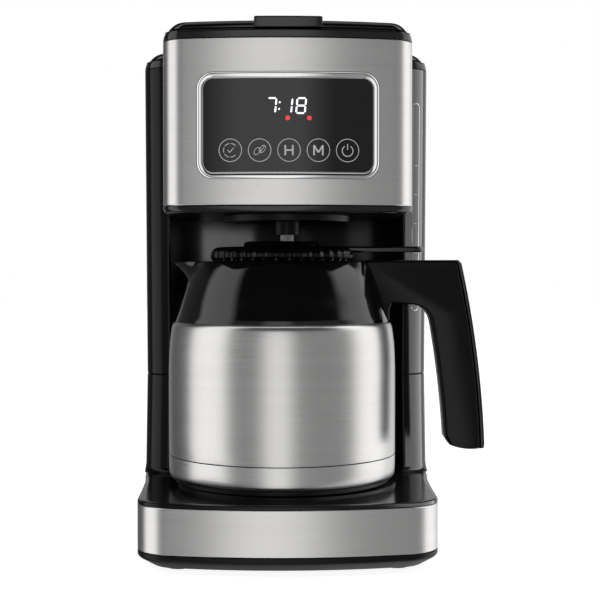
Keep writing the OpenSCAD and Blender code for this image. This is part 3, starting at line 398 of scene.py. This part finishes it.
bm = bmesh.new()
wall = skin(bm, base_plan(bm), [(-0.0125, FOOT_TOP), (-0.0112, FOOT_TOP), (-0.0104, FOOT_TOP + 0.0004),
                                (-0.0016, COVER_TOP - 0.0048), (-0.0005, COVER_TOP - 0.0038),
                                (0, COVER_TOP - 0.0026), (0, COVER_TOP - 0.0004), (-0.0004, COVER_TOP),
                                (-0.004, COVER_TOP)])
cap(bm, wall[0])
cap(bm, wall[-1])
piece("bottom_tray", bm, satin_black, "machine", ["bottom_cover"])


# ---- Steel band round the base ----
# Stainless strip bent round the base from one side of the column to the other. It is brushed along its
# length, and its two long edges are folded in.
BAND_END = 0.112
bm = bmesh.new()
start, moves = bowed(BASE_HALF, BASE_FRONT, BASE_BOW, BASE_CORNER)
side_y = POST_Y + POST_CORNER
strip = trace(bm, (BODY_HALF, BAND_END), (BODY_HALF, side_y), *base_side(1), start, *moves,
              *base_side(-1)[::-1], (-BODY_HALF, side_y), (-BODY_HALF, BAND_END))
skin(bm, strip, [(-0.0012, COVER_TOP + 0.0002), (-0.0003, COVER_TOP + 0.0003), (0, COVER_TOP + 0.0007),
                 (0, BAND_TOP - 0.0007), (-0.0003, BAND_TOP - 0.0003), (-0.0012, BAND_TOP - 0.0002)],
     closed=False)
piece("steel_base_band", bm, steel_band, "machine", ["base_band"])


# ---- Base moulding ----
# Soft-gloss black moulding: the deck that the carafe stands over and the lower part of the column, in one
# piece. The column's foot sweeps out into the deck with a small hollow round.
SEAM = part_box("base_housing")[1][2]
DRAFT = 0.012
POST_X = BODY_HALF - POST_CORNER


def post_tip(turn):
    """Point on the post's rounded corner, so many degrees round from its outer side."""
    middle = Vector((POST_X, POST_Y + POST_CORNER))
    return middle + Matrix.Rotation(-radians(turn), 2) @ Vector((POST_CORNER, 0))


POST_TURN = 0
while post_tip(POST_TURN).length > RECESS:
    POST_TURN += 0.5
RECESS_TURN = 180 - 2 * degrees(atan2(post_tip(POST_TURN).y, post_tip(POST_TURN).x))


def column_plan(bm):
    side_y = POST_Y + POST_CORNER
    return close(bm, trace(bm, (BODY_HALF, REAR - REAR_CORNER), (BODY_HALF, side_y),
                           ((POST_X, side_y), -POST_TURN, 14), ((0, 0), RECESS_TURN, 72),
                           ((-POST_X, side_y), -POST_TURN, 14), (-BODY_HALF, REAR - REAR_CORNER),
                           *rear_corners()))


def soften(bm, radius, segments=3, steep=0.9):
    """Rounds the upright corners of a wall."""
    corners = [e for e in bm.edges if len(e.link_faces) == 2 and e.calc_face_angle() > radians(40)
               and abs((e.verts[0].co - e.verts[1].co).normalized().z) > steep]
    bmesh.ops.bevel(bm, geom=corners, offset=radius, segments=segments, affect="EDGES", profile=0.5,
                    material=-1)


def behind_band(height):
    """Ring that stands back behind the steel band and is flush at the rear, where there is no band."""
    return lambda normal: (-0.0002 if normal.y > 0.3 else -0.0016, height)


bm = bmesh.new()
deck = skin(bm, base_plan(bm), [behind_band(COVER_TOP + 0.0003), behind_band(BAND_TOP), (-0.0004, BAND_TOP),
                                (0, BAND_TOP + 0.0004), (0, DECK - 0.0013), (-0.0004, DECK - 0.0004),
                                (-0.0013, DECK), (-0.004, DECK)])
cap(bm, deck[-1])
cap(bm, deck[0])
column = skin(bm, column_plan(bm), [(0.0045, DECK - 0.0002), (0.0024, DECK + 0.0006),
                                    (0.0012, DECK + 0.0016), (0.0004, DECK + 0.0032), (0, DECK + 0.006),
                                    (0, SEAM - 0.0005), (-0.0005, SEAM), (-0.003, SEAM)])
cap(bm, column[-1])
soften(bm, 0.0008)
for v in bm.verts:
    v.co.x = max(-BODY_HALF, min(BODY_HALF, v.co.x))
    v.co.y = min(REAR, v.co.y)
    if v.co.z > DECK:
        v.co.x *= 1 - DRAFT * (v.co.z - DECK) / (SEAM - DECK)
moulding = piece("base_moulding", bm, column_black, "machine", ["base_housing"])
column_pieces.objects.link(moulding)


# ---- Rear housing ----
# Upper part of the column in soft-gloss black, moulded as a shell that holds the water tank. A fine seam
# parts it from the base moulding below, and it widens a little towards the top, as it left its mould.
HEAD_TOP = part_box("rear_housing")[1][2]
bm = bmesh.new()
shell = skin(bm, column_plan(bm), [(-0.003, SEAM + 0.0003), (-0.0005, SEAM + 0.0003), (0, SEAM + 0.0008),
                                   (0, HEAD_TOP - 0.0002), (-0.0025, HEAD_TOP - 0.0002),
                                   (-0.0025, SEAM + 0.006)])
cap(bm, shell[0])
cap(bm, shell[-1])
soften(bm, 0.0008)
for v in bm.verts:
    v.co.x *= 1 - DRAFT + DRAFT * (v.co.z - SEAM) / (HEAD_TOP - SEAM)
housing = piece("column_shell", bm, column_black, "machine", ["rear_housing"])
column_pieces.objects.link(housing)


# ---- Level window ----
# Narrow smoked strip in a bright rim, let into the front right corner of the rear housing, with level marks
# on its face. It is a push fit, sealed from inside. The strip's light grey colour is a painted reflection.
WINDOW_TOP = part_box("level_window")[1][2]
WINDOW_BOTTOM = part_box("level_window")[0][2]
WINDOW_HALF = 0.0034
WINDOW_TURN = -55
STRIP_HALF = WINDOW_HALF - 0.0007


def on_corner(bm, lift):
    """Wraps a flat drawing (x across, y up) round the housing's front right corner."""
    for v in bm.verts:
        angle = radians(WINDOW_TURN) + v.co.x / POST_CORNER
        reach = POST_CORNER + lift + v.co.z
        height = v.co.y
        draft = 1 - DRAFT + DRAFT * (height - SEAM) / (HEAD_TOP - SEAM)
        v.co = ((POST_X + reach * cos(angle)) * draft, POST_Y + POST_CORNER + reach * sin(angle), height)


def stadium(bm, half, low, high):
    moves = [((0, high - half), -180, 16), (half, low + half), ((0, low + half), -180, 16)]
    return close(bm, trace(bm, (-half, low + half), (-half, high - half), *moves))


bm = bmesh.new()
skin(bm, stadium(bm, WINDOW_HALF, WINDOW_BOTTOM, WINDOW_TOP),
     [(0, -0.001), (0, 0), (-0.0002, 0.0003), (-0.0006, 0.0003), (-0.0008, 0), (-0.0008, -0.0008)])
on_corner(bm, 0)
piece("window_rim", bm, chrome, "machine", ["level_window"])

bm = bmesh.new()
trace(bm, (-STRIP_HALF, WINDOW_BOTTOM + WINDOW_HALF), (-STRIP_HALF, WINDOW_TOP - WINDOW_HALF))
strip = bmesh.ops.extrude_edge_only(bm, edges=bm.edges[:])["geom"]
bmesh.ops.translate(bm, verts=[g for g in strip if isinstance(g, bmesh.types.BMVert)],
                    vec=(2 * STRIP_HALF, 0, 0))
bmesh.ops.subdivide_edges(bm, edges=[e for e in bm.edges if abs(e.verts[0].co.y - e.verts[1].co.y) < 1e-6],
                          cuts=7)
on_corner(bm, -0.0001)
# The smoked strip is coloured light grey with streaks running up and down. This is a painted reflection of a
# bright light on its face.
window_reflection_paint, window_reflection_shader, here = finish("smoked_window_painted_reflection", (0.2, 0.2, 0.2), 0.12)
painted_reflection_streaks = noise(here, 12, 2, 0.5, (1, 1, 0.2))
feed(window_reflection_shader, "Base Color", tint(painted_reflection_streaks, (0.6, 0.6, 0.6), (0.85, 0.85, 0.85)))
column_pieces.objects.link(piece("window_strip", bm, window_reflection_paint, "machine"))

bm = bmesh.new()
for share in (0.3, 0.44, 0.58, 0.72):
    mark = bmesh.ops.create_grid(bm, x_segments=4, y_segments=1, size=0.5)["verts"]
    bmesh.ops.scale(bm, verts=mark, vec=(0.0032, 0.0007, 1))
    bmesh.ops.translate(bm, verts=mark, vec=(0, WINDOW_TOP - share * (WINDOW_TOP - WINDOW_BOTTOM), 0))
on_corner(bm, 0.0001)
piece("window_marks", bm, white_plastic, "machine", recalc=False)


# ---- Head: steel front and lower trim ----
# One sheet of brushed steel wrapped round the front and sides of the head, over a gloss black trim strip
# that hides its lower edge.
HEAD_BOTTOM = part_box("head_trim")[0][2]
PANEL_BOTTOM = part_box("front_panel")[0][2]
HEAD_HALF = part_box("front_panel")[1][0]
HEAD_FRONT = -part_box("front_panel")[0][1]
HEAD_BOW = 0.320
HEAD_CORNER = 0.018
PANEL_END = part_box("front_panel")[1][1]


def head_front_plan(bm, end):
    start, moves = bowed(HEAD_HALF, HEAD_FRONT, HEAD_BOW, HEAD_CORNER)
    return trace(bm, (HEAD_HALF, end), start, *moves, (-HEAD_HALF, end))


bm = bmesh.new()
skin(bm, head_front_plan(bm, PANEL_END),
     [(-0.0012, PANEL_BOTTOM), (-0.0003, PANEL_BOTTOM + 0.0001), (0, PANEL_BOTTOM + 0.0005),
      (0, HEAD_TOP - 0.0005), (-0.0003, HEAD_TOP - 0.0001), (-0.0012, HEAD_TOP)], closed=False)
piece("steel_head_panel", bm, steel_band, "machine", ["front_panel"])

bm = bmesh.new()
skin(bm, head_front_plan(bm, PANEL_END),
     [(-0.004, HEAD_BOTTOM), (-0.0022, HEAD_BOTTOM + 0.0003), (-0.0008, HEAD_BOTTOM + 0.0014),
      (-0.0001, HEAD_BOTTOM + 0.003), (0, HEAD_BOTTOM + 0.0042), (-0.0003, HEAD_BOTTOM + 0.0048),
      (-0.0012, HEAD_BOTTOM + 0.0049)], closed=False)
piece("head_lower_trim", bm, gloss_black, "machine", ["head_trim"])


# ---- Control glass and chrome bezel ----
# Black glass in a polished ring, both bowed like the steel behind them. The ring is held from inside by
# tabs, and a dark gap runs round it.
GLASS_Z = (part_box("control_glass")[0][2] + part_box("control_glass")[1][2]) / 2
GLASS_HALF = (0.0552, 0.03035)
BEZEL = 0.004


def on_front(bm, lift=0.0):
    """Stands a flat drawing (x across, y up, z proud) on the head's bowed front."""
    for v in bm.verts:
        across, up, proud = v.co
        bow = HEAD_BOW - sqrt(HEAD_BOW ** 2 - across ** 2)
        v.co = (across, bow - HEAD_FRONT - proud - lift, GLASS_Z + up)


def top_edge(half_w, half_h, corner):
    """Upper half of a rounded rectangle, from the left side to the right."""
    runs = [(-half_w + corner + i * (half_w - corner) / 14, half_h) for i in range(1, 29)]
    return (-half_w, half_h - corner), [((corner - half_w, half_h - corner), -90, 12), *runs,
                                        ((half_w - corner, half_h - corner), -90, 12)]


def rounded_loop(bm, half_w, half_h, corner):
    start, moves = top_edge(half_w, half_h, corner)
    under = [(half_w - corner - i * (half_w - corner) / 14, -half_h) for i in range(1, 29)]
    return close(bm, trace(bm, start, *moves, (half_w, corner - half_h),
                           ((half_w - corner, corner - half_h), -90, 12), *under,
                           ((corner - half_w, corner - half_h), -90, 12)))


bm = bmesh.new()
skin(bm, rounded_loop(bm, GLASS_HALF[0], GLASS_HALF[1], 0.0066),
     [(BEZEL + 0.0003, -0.001), (BEZEL + 0.0003, 0.0001), (BEZEL, 0.0001), (BEZEL, -0.0006)])
on_front(bm)
piece("bezel_gap", bm, satin_black, "machine", recalc=False)

bm = bmesh.new()
skin(bm, rounded_loop(bm, GLASS_HALF[0], GLASS_HALF[1], 0.0066),
     [(BEZEL - 0.0002, -0.001), (BEZEL - 0.0002, 0.0004), (BEZEL - 0.0007, 0.0009),
      (BEZEL - 0.0014, 0.0011), (BEZEL - 0.0019, 0.001), (0.0012, 0.0008), (0.0007, 0.0006),
      (0.0003, 0.0001), (0.0001, -0.0006)])
on_front(bm)
piece("chrome_bezel", bm, chrome, "machine", ["panel_bezel"], recalc=False)


def glass_sheet(bm, half_w, half_h, corner):
    start, moves = top_edge(half_w, half_h, corner)
    trace(bm, start, *moves)
    made = bmesh.ops.extrude_edge_only(bm, edges=bm.edges[:])["geom"]
    for v in (g for g in made if isinstance(g, bmesh.types.BMVert)):
        v.co.y *= -1


bm = bmesh.new()
glass_sheet(bm, GLASS_HALF[0] - 0.0001, GLASS_HALF[1] - 0.0001, 0.0065)
edge = bmesh.ops.extrude_edge_only(bm, edges=[e for e in bm.edges if e.is_boundary])["geom"]
bmesh.ops.translate(bm, verts=[g for g in edge if isinstance(g, bmesh.types.BMVert)], vec=(0, 0, -0.001))
on_front(bm, 0.0002)
glass, glass_shader, here = finish("black_glass", (0.003, 0.003, 0.0034), 0.06, coat=0.1)
feed(glass_shader, "Roughness", 0.05 + noise(here, 35, 3) * 0.05)
piece("control_glass_front", bm, glass, "machine", ["control_glass"])


# ---- Display and touch marks ----
# Seven-segment clock seen through the glass, two red lamps, and five touch marks printed behind it, each
# in a thin ring: brew timer, beans, hours, minutes and power. The printed marks get a faint painted glow.
def bar(bm, a, b, width, taper=0.0):
    """Flat bar from a to b, pointed at both ends if it has a taper."""
    a, b = Vector(a), Vector(b)
    verts = bmesh.ops.create_grid(bm, x_segments=3, y_segments=2, size=0.5)["verts"]
    for v in verts:
        if taper and abs(v.co.y) >= 0.1 and abs(v.co.x) > 0.4:
            v.co.x *= 1 - 2 * taper / (b - a).length
    bmesh.ops.scale(bm, verts=verts, vec=((b - a).length, width, 1))
    turn = atan2(b.y - a.y, b.x - a.x)
    bmesh.ops.rotate(bm, verts=verts, cent=(0, 0, 0), matrix=Matrix.Rotation(turn, 3, "Z"))
    bmesh.ops.translate(bm, verts=verts, vec=((a.x + b.x) / 2, (a.y + b.y) / 2, 0))


def ring(bm, centre, radius, width, start=0, turn=360, squash=1.0, tilt=0.0):
    """Flat ring or part of one, which may be squashed to an ellipse and tilted."""
    inner = bm.verts.new((radius - width / 2, 0, 0))
    outer = bm.verts.new((radius + width / 2, 0, 0))
    made = bmesh.ops.spin(bm, geom=[inner, outer, bm.edges.new((inner, outer))], cent=(0, 0, 0),
                          axis=(0, 0, 1), angle=radians(turn), steps=max(6, int(turn / 6)),
                          use_merge=turn == 360)
    verts = list({v for v in bm.verts if not v.tag})
    bmesh.ops.rotate(bm, verts=verts, cent=(0, 0, 0), matrix=Matrix.Rotation(radians(start), 3, "Z"))
    bmesh.ops.scale(bm, verts=verts, vec=(1, squash, 1))
    bmesh.ops.rotate(bm, verts=verts, cent=(0, 0, 0), matrix=Matrix.Rotation(radians(tilt), 3, "Z"))
    bmesh.ops.translate(bm, verts=verts, vec=(*centre, 0))


SEGMENTS = {"a": ((-1, 2), (1, 2)), "b": ((1, 2), (1, 0)), "c": ((1, 0), (1, -2)), "d": ((-1, -2), (1, -2)),
            "e": ((-1, 0), (-1, -2)), "f": ((-1, 2), (-1, 0)), "g": ((-1, 0), (1, 0))}
DIGIT = (0.0028, 0.0024)
CLOCK_Y = 0.0124
SLANT = 0.10
bm = bmesh.new()
for centre_x, lit in ((-0.0108, "abc"), (-0.0005, "bc"), (0.0083, "abcdefg")):
    for name in lit:
        ends = []
        for u, w in SEGMENTS[name]:
            ends.append(Vector((centre_x + u * DIGIT[0], CLOCK_Y + w * DIGIT[1])))
        gap = (ends[1] - ends[0]).normalized() * 0.0003
        bar(bm, ends[0] + gap, ends[1] - gap, 0.00115, 0.0005)
for up in (0.0021, -0.0022):
    bar(bm, (-0.0062, CLOCK_Y + up), (-0.0052, CLOCK_Y + up), 0.0011)
for v in bm.verts:
    v.co.x += SLANT * (v.co.y - CLOCK_Y)
on_front(bm, 0.00025)
lit_white, lit_shader, here = finish("lit_white", (0.9, 0.93, 1.0), 0.4)
lit_shader.inputs["Emission Strength"].default_value = 1.2
feed(lit_shader, "Emission Color", tint(noise(here, 400), (0.75, 0.8, 0.9), (1, 1, 1)))
piece("clock_digits", bm, lit_white, "machine", recalc=False)

bm = bmesh.new()
for x in (-0.0003, 0.0136):
    bmesh.ops.create_circle(bm, cap_ends=True, segments=20, radius=0.0015,
                            matrix=Matrix.Translation((x, 0.0045, 0)))
on_front(bm, 0.00025)
lit_red, red_shader, here = finish("lit_red", (0.8, 0.03, 0.03), 0.4)
red_shader.inputs["Emission Strength"].default_value = 0.9
feed(red_shader, "Emission Color", tint(noise(here, 400), (0.6, 0.02, 0.03), (1, 0.08, 0.08)))
piece("red_lamps", bm, lit_red, "machine", recalc=False)

MARK_Y = -0.0162
bm = bmesh.new()
for number in range(5):
    x = -0.0374 + number * 0.01895
    for v in bm.verts:
        v.tag = True
    ring(bm, (x, MARK_Y), 0.0073, 0.00045)
    for v in bm.verts:
        v.tag = True
    if number == 0:
        for part in range(5):
            ring(bm, (x, MARK_Y), 0.0044, 0.0005, 40 + 58 * part, 44)
            for v in bm.verts:
                v.tag = True
        bar(bm, (x - 0.0017, MARK_Y + 0.0002), (x - 0.0004, MARK_Y - 0.0014), 0.0005)
        bar(bm, (x - 0.0004, MARK_Y - 0.0014), (x + 0.0022, MARK_Y + 0.0016), 0.0005)
    elif number == 1:
        for shift in (-0.0016, 0.0018):
            ring(bm, (x + shift, MARK_Y + 0.4 * shift), 0.0026, 0.0005, squash=0.62, tilt=55)
            for v in bm.verts:
                v.tag = True
            bar(bm, (x + shift - 0.0012, MARK_Y + 0.4 * shift - 0.0017),
                (x + shift + 0.0012, MARK_Y + 0.4 * shift + 0.0017), 0.0004)
    elif number == 2:
        for side in (-0.0024, 0.0024):
            bar(bm, (x + side, MARK_Y - 0.0033), (x + side, MARK_Y + 0.0033), 0.0011)
        bar(bm, (x - 0.0024, MARK_Y), (x + 0.0024, MARK_Y), 0.001)
    elif number == 3:
        for side in (-0.0028, 0.0028):
            bar(bm, (x + side, MARK_Y - 0.0033), (x + side, MARK_Y + 0.0033), 0.0011)
            bar(bm, (x + side, MARK_Y + 0.0031), (x, MARK_Y - 0.0014), 0.001)
    else:
        ring(bm, (x, MARK_Y - 0.0003), 0.0035, 0.0006, 122, 296)
        bar(bm, (x, MARK_Y + 0.0004), (x, MARK_Y + 0.0042), 0.0006)
    for v in bm.verts:
        v.tag = True
on_front(bm, 0.00025)
# The printed marks are not lamps: their faint emission is a painted glow.
print_painted_glow, print_glow_shader, here = finish("printed_white_painted_glow", (0.62, 0.62, 0.62), 0.4)
print_glow_shader.inputs["Emission Strength"].default_value = 0.25
feed(print_glow_shader, "Emission Color", tint(noise(here, 300), (0.5, 0.5, 0.5), (0.8, 0.8, 0.8)))
piece("touch_marks", bm, print_painted_glow, "machine", recalc=False)


# ---- Top frame band, lid and tab ----
# The gloss black frame closes the head and the rear block and carries the hinge. The lid above it lifts
# by a raised tab at the front, and its long edges are well rounded, as the frame's are.
LID_Z = HEAD_TOP + 0.0065
LID_TOP = LID_Z + 0.005
CROWN = 0.012
FRONT_ROUND = 0.004
LID_INSET = 0.001
HINGE_Y = REAR - 0.010
BARREL_R = 0.0052


def crown_ring(height, share, inset):
    """Ring of the rounded crown, from a height up to the top as share goes from 0 to 1."""
    def at(normal):
        round_r = FRONT_ROUND + (CROWN - FRONT_ROUND) * normal.x ** 2
        first = asin(max(0, min(1, (height - LID_TOP + round_r) / round_r)))
        angle = first + (pi / 2 - first) * share
        z = LID_TOP - round_r + round_r * sin(angle)
        return -inset - round_r * (1 - cos(angle)), (z if share else height)
    return at


def frame_ring(crown_at, rise, inset):
    """Ring of the frame under the lid: its place on the crown, and its height over the head."""
    return lambda n: (0.0001 + crown_ring(HEAD_TOP + crown_at, 0, inset)(n)[0], HEAD_TOP + rise)


def top_plan(bm, end_y):
    start, moves = bowed(HEAD_HALF, HEAD_FRONT, HEAD_BOW, HEAD_CORNER)
    meet = (HEAD_HALF, POST_Y)
    side_y = POST_Y + POST_CORNER
    return trace(bm, (BODY_HALF, end_y), (BODY_HALF, side_y), ((POST_X, side_y), -90, 14), meet, start,
                 *moves, (-HEAD_HALF, POST_Y), (-POST_X, POST_Y), ((-POST_X, side_y), -90, 14),
                 (-BODY_HALF, end_y))


bm = bmesh.new()
skin(bm, top_plan(bm, REAR - REAR_CORNER),
     [frame_ring(0.0003, 0.0002, 0.0006), frame_ring(0.0008, 0.0006, 0), frame_ring(0.003, 0.003, 0),
      frame_ring(0.0045, 0.0045, 0), frame_ring(0.0053, 0.0053, 0.0002), frame_ring(0.0057, 0.0058, 0.0008),
      frame_ring(0.0057, 0.0058, 0.003)], closed=False)
piece("frame_front_band", bm, gloss_black, "machine")

bm = bmesh.new()
WALL = 0.0024
lid = skin(bm, close(bm, top_plan(bm, HINGE_Y - 0.001)),
           [lambda n: (-LID_INSET - 0.003 - 0.004 * n.x ** 2, LID_TOP - WALL),
            lambda n: (crown_ring(LID_Z, 0, LID_INSET + WALL)(n)[0], LID_Z),
            lambda n: (crown_ring(LID_Z, 0, LID_INSET + 0.0004)(n)[0], LID_Z),
            lambda n: (crown_ring(LID_Z + 0.0003, 0, LID_INSET)(n)[0], LID_Z + 0.0003)]
           + [crown_ring(LID_Z + 0.0005, i / 7, LID_INSET) for i in range(8)])
cap(bm, lid[0])
cap(bm, lid[-1])
bmesh.ops.create_cone(bm, cap_ends=True, segments=48, radius1=BARREL_R, radius2=BARREL_R, depth=0.132,
                      matrix=Matrix.Translation((0, HINGE_Y, LID_Z)) @ Matrix.Rotation(pi / 2, 4, "Y"))
piece("lid_shell", bm, gloss_black, "lid", ["lid"], sharp=40)

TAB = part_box("lid_tab")
bm = bmesh.new()
tab = bmesh.ops.create_cube(bm, size=1)["verts"]
bmesh.ops.scale(bm, verts=tab, vec=Vector(TAB[1]) - Vector(TAB[0]))
bmesh.ops.translate(bm, verts=tab, vec=(Vector(TAB[1]) + Vector(TAB[0])) / 2)
bmesh.ops.subdivide_edges(bm, edges=[e for e in bm.edges if abs(e.verts[0].co.x - e.verts[1].co.x) > 0.01],
                          cuts=9)
bmesh.ops.bevel(bm, geom=[e for e in bm.edges if e.calc_face_angle() > 1], offset=0.0011, segments=4,
                affect="EDGES", profile=0.5, material=-1)
for v in bm.verts:
    v.co.y += HEAD_BOW - sqrt(HEAD_BOW ** 2 - v.co.x ** 2)
piece("lid_tab_cap", bm, gloss_black, "lid", ["lid_tab"])


# ---- Carafe body ----
# Double-walled flask: a drawn steel outer shell with a separate pressed bottom cap, on a plastic foot
# ring. The shell is brushed round its axis.
CARAFE_X = -0.0035


def turned(bm, profile, steps=160):
    """Spins a profile of (radius, height) points in millimetres round the carafe's axis."""
    verts = [bm.verts.new((CARAFE_X + r / 1000, 0, z / 1000)) for r, z in profile]
    edges = [bm.edges.new(pair) for pair in zip(verts, verts[1:])]
    bmesh.ops.spin(bm, geom=verts + edges, cent=(CARAFE_X, 0, 0), axis=(0, 0, 1), angle=2 * pi,
                   steps=steps, use_merge=True)
    bmesh.ops.remove_doubles(bm, verts=bm.verts, dist=1e-6)


bm = bmesh.new()
turned(bm, [(79.0, 68.45), (79.9, 68.5), (80.0, 68.8), (80.0, 80), (80.0, 100), (80.0, 118), (79.95, 128),
            (79.7, 138), (79.2, 146), (78.5, 152), (77.9, 156), (77.4, 158.2), (76.6, 159.6), (75.4, 160.5),
            (74.0, 161.0), (70, 161.4), (66, 162)])
piece("steel_carafe_shell", bm, steel_band, "carafe", ["carafe_shell"])

bm = bmesh.new()
turned(bm, [(60, 51.8), (76.6, 51.8), (78.2, 52.2), (79.2, 53.2), (79.7, 55), (79.85, 58), (80, 67.4),
            (79.95, 67.85), (79.4, 68.1), (78.6, 68.1)])
piece("steel_carafe_cap", bm, steel_band, "carafe", ["carafe_cap"])


# ---- Carafe collar ----
# Gloss black moulding that clamps the two steel walls together at the neck. Its rim is drawn out into a
# short pouring beak opposite the handle.
BEAK = 0.0152
BEAK_ANGLE = 17
BEAK_FROM = 0.1925
BEAK_RISE = 0.0095
bm = bmesh.new()
turned(bm, [(74.6, 160.2), (75.2, 160.35), (75.3, 161.2), (74.5, 164), (72.9, 168.4), (70.9, 175.6),
            (68.7, 182.9), (66.2, 190.1), (63.6, 197.1), (61.2, 201.6), (60.4, 202.5), (59.4, 202.8),
            (58.2, 202.6), (57.6, 202.0), (57.4, 200.4), (53.6, 200.2), (52.2, 199.6), (52.0, 190)], 180)
for v in bm.verts:
    flat = Vector((v.co.x - CARAFE_X, v.co.y))
    angle = abs(degrees(atan2(flat.y, -flat.x)))
    if angle < BEAK_ANGLE and v.co.z > BEAK_FROM:
        rise = min(1, (v.co.z - BEAK_FROM) / BEAK_RISE)
        pull = BEAK * (1 - angle / BEAK_ANGLE) * rise ** 0.9
        flat *= 1 + pull / flat.length
        v.co.x = CARAFE_X + flat.x
        v.co.y = flat.y
piece("collar_with_beak", bm, gloss_black, "carafe", ["carafe_collar"])


# ---- Carafe handle ----
# Soft-gloss black moulding screwed to the collar from inside: a level arm that turns down into the grip. A
# thin cover strip runs down the back of the grip, and leaves a fine line on each side.
def through(a, b, c, steps):
    """The turn that takes a to c by way of b."""
    a, b, c = Vector(a), Vector(b), Vector(c)
    d = 2 * (a.x * (b.y - c.y) + b.x * (c.y - a.y) + c.x * (a.y - b.y))
    cx = (a.dot(a) * (b.y - c.y) + b.dot(b) * (c.y - a.y) + c.dot(c) * (a.y - b.y)) / d
    cy = (a.dot(a) * (c.x - b.x) + b.dot(b) * (a.x - c.x) + c.dot(c) * (b.x - a.x)) / d
    centre = Vector((cx, cy))
    first, last = a - centre, c - centre
    turn = degrees(atan2(first.x * last.y - first.y * last.x, first.dot(last)))
    return centre, turn, steps


def pts(*pairs):
    return [(x / 1000 + CARAFE_X, z / 1000) for x, z in pairs]


def side_solid(name, start, moves, half, material, body, replaces, bevel):
    """Solid with a traced side view, as wide as half each way, its long edges rounded."""
    bm = bmesh.new()
    chain = close(bm, trace(bm, start, *moves))
    for side in skin(bm, chain, [(0, 0), (0, 2 * half)]):
        cap(bm, side)
    rims = [e for e in bm.edges
            if e.calc_face_angle() > 1 and abs(e.verts[0].co.z - e.verts[1].co.z) < 1e-6]
    bmesh.ops.bevel(bm, geom=rims, offset=bevel, segments=4, affect="EDGES", profile=0.5, material=-1,
                    clamp_overlap=True)
    for v in bm.verts:
        v.co = (v.co.x, half - v.co.z, v.co.y)
    return piece(name, bm, material, body, replaces)


back = pts((123.2, 201.2), (132.7, 150), (139.6, 73.6))
toe = pts((139.2, 70.9), (129, 70.7), (118.4, 73.4))
inner = pts((114.9, 79), (111.4, 118.8), (105.9, 157))
crook = pts((105.3, 160), (100.4, 169), (90, 172.6))
ends = pts((57, 203.7), (120.9, 203.9), (77, 173.2), (75.4, 170), (75.2, 161.2), (70, 161.2))
side_solid("handle_grip", ends[0],
           [ends[1], back[0], through(*back, 18), toe[0], through(*toe, 8), inner[0], through(*inner, 14),
            crook[0], through(*crook, 8), ends[2], ends[3], ends[4], ends[5]],
           0.0115, column_black, "carafe", ["carafe_handle"], 0.0022)
outside = pts((126.2, 201.4), (135.7, 150), (142.7, 74))
inside = pts((139.9, 73.6), (133, 150), (123.5, 201.2))
heel = pts((142.2, 71.2), (139.6, 70.9))
crest = pts((121.4, 203.9), (123.6, 203.9))
side_solid("handle_cover_strip", outside[0],
           [through(*outside, 18), *heel, inside[0], through(*inside, 18), *crest],
           0.0108, gloss_black, "carafe", ["handle_spine"], 0.001)


# ---- Carafe lid and lever ----
# Soft-gloss black lid with a scalloped edge for the fingers, a raised boss and a slot for the lever. The
# thumb lever on top, over the handle, lifts the pouring stopper.
BUMPS = 36
BUMP_DEPTH = 0.0014
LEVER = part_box("lid_lever")
SLOT_X = CARAFE_X + 0.004
SLOT_FLOOR = 0.0455
SLOT_HALF = 0.008
SLOT_Z = LEVER[0][2] - 0.0014
bm = bmesh.new()
turned(bm, [(40, 203.2), (48.8, 203.2), (49.8, 204), (50.4, 205.6), (50.4, 207.6), (49.9, 209.6),
            (48.8, 211.2), (47.2, 212.3), (45.4, 212.8), (40, 212.6), (30, 212.5), (28.2, 212.6),
            (27.3, 213.4), (26.9, 215.4), (26.2, 216.4), (24.8, 216.8), (18, 216.7), (17.2, 216.2),
            (17.0, 214)], 288)
for v in bm.verts:
    flat = Vector((v.co.x - CARAFE_X, v.co.y))
    if flat.length > 0.0455 and v.co.z > 0.2036:
        wave = 0.5 - 0.5 * cos(BUMPS * atan2(flat.y, flat.x))
        flat *= 1 - BUMP_DEPTH * wave / flat.length
        v.co.x = CARAFE_X + flat.x
        v.co.y = flat.y
for at, normal in (((0, SLOT_HALF, 0), (0, 1, 0)), ((0, -SLOT_HALF, 0), (0, 1, 0)),
                   ((SLOT_X, 0, 0), (1, 0, 0)), ((0, 0, SLOT_Z), (0, 0, 1))):
    bmesh.ops.bisect_plane(bm, geom=bm.verts[:] + bm.edges[:] + bm.faces[:], plane_co=at, plane_no=normal)
slot = set()
for face in bm.faces:
    centre = face.calc_center_median()
    if abs(centre.y) < SLOT_HALF and centre.x > SLOT_X and centre.z > SLOT_Z:
        slot.add(face)
edges = [e for e in bm.edges if len(e.link_faces) == 2 and len(slot & set(e.link_faces)) == 1]
bmesh.ops.delete(bm, geom=list(slot), context="FACES")
walls = bmesh.ops.extrude_edge_only(bm, edges=edges)["geom"]
for v in (g for g in walls if isinstance(g, bmesh.types.BMVert)):
    v.co.z = SLOT_Z
slot_floor = bmesh.ops.create_grid(bm, x_segments=8, y_segments=2, size=0.5)["verts"]
bmesh.ops.scale(bm, verts=slot_floor, vec=(SLOT_FLOOR, 2 * SLOT_HALF, 1))
bmesh.ops.translate(bm, verts=slot_floor, vec=(SLOT_X + 0.0228, 0, SLOT_Z))
piece("scalloped_lid", bm, column_black, "carafe_lid", ["carafe_lid"], sharp=60)

bm = bmesh.new()
half = LEVER[1][1]
nose = (LEVER[1][0] - half, 0)
plan = trace(bm, (LEVER[0][0], -half), (LEVER[0][0], half), (nose[0], half), (nose, -180, 20))
lever = skin(bm, close(bm, plan),
             [(-0.0012, LEVER[0][2]), (-0.0004, LEVER[0][2] + 0.0004), (0, LEVER[0][2] + 0.0012),
              (0, LEVER[1][2] - 0.0012), (-0.0004, LEVER[1][2] - 0.0004), (-0.0012, LEVER[1][2])])
cap(bm, lever[0])
cap(bm, lever[-1])
piece("thumb_lever", bm, gloss_black, "lid_lever", ["lid_lever"])
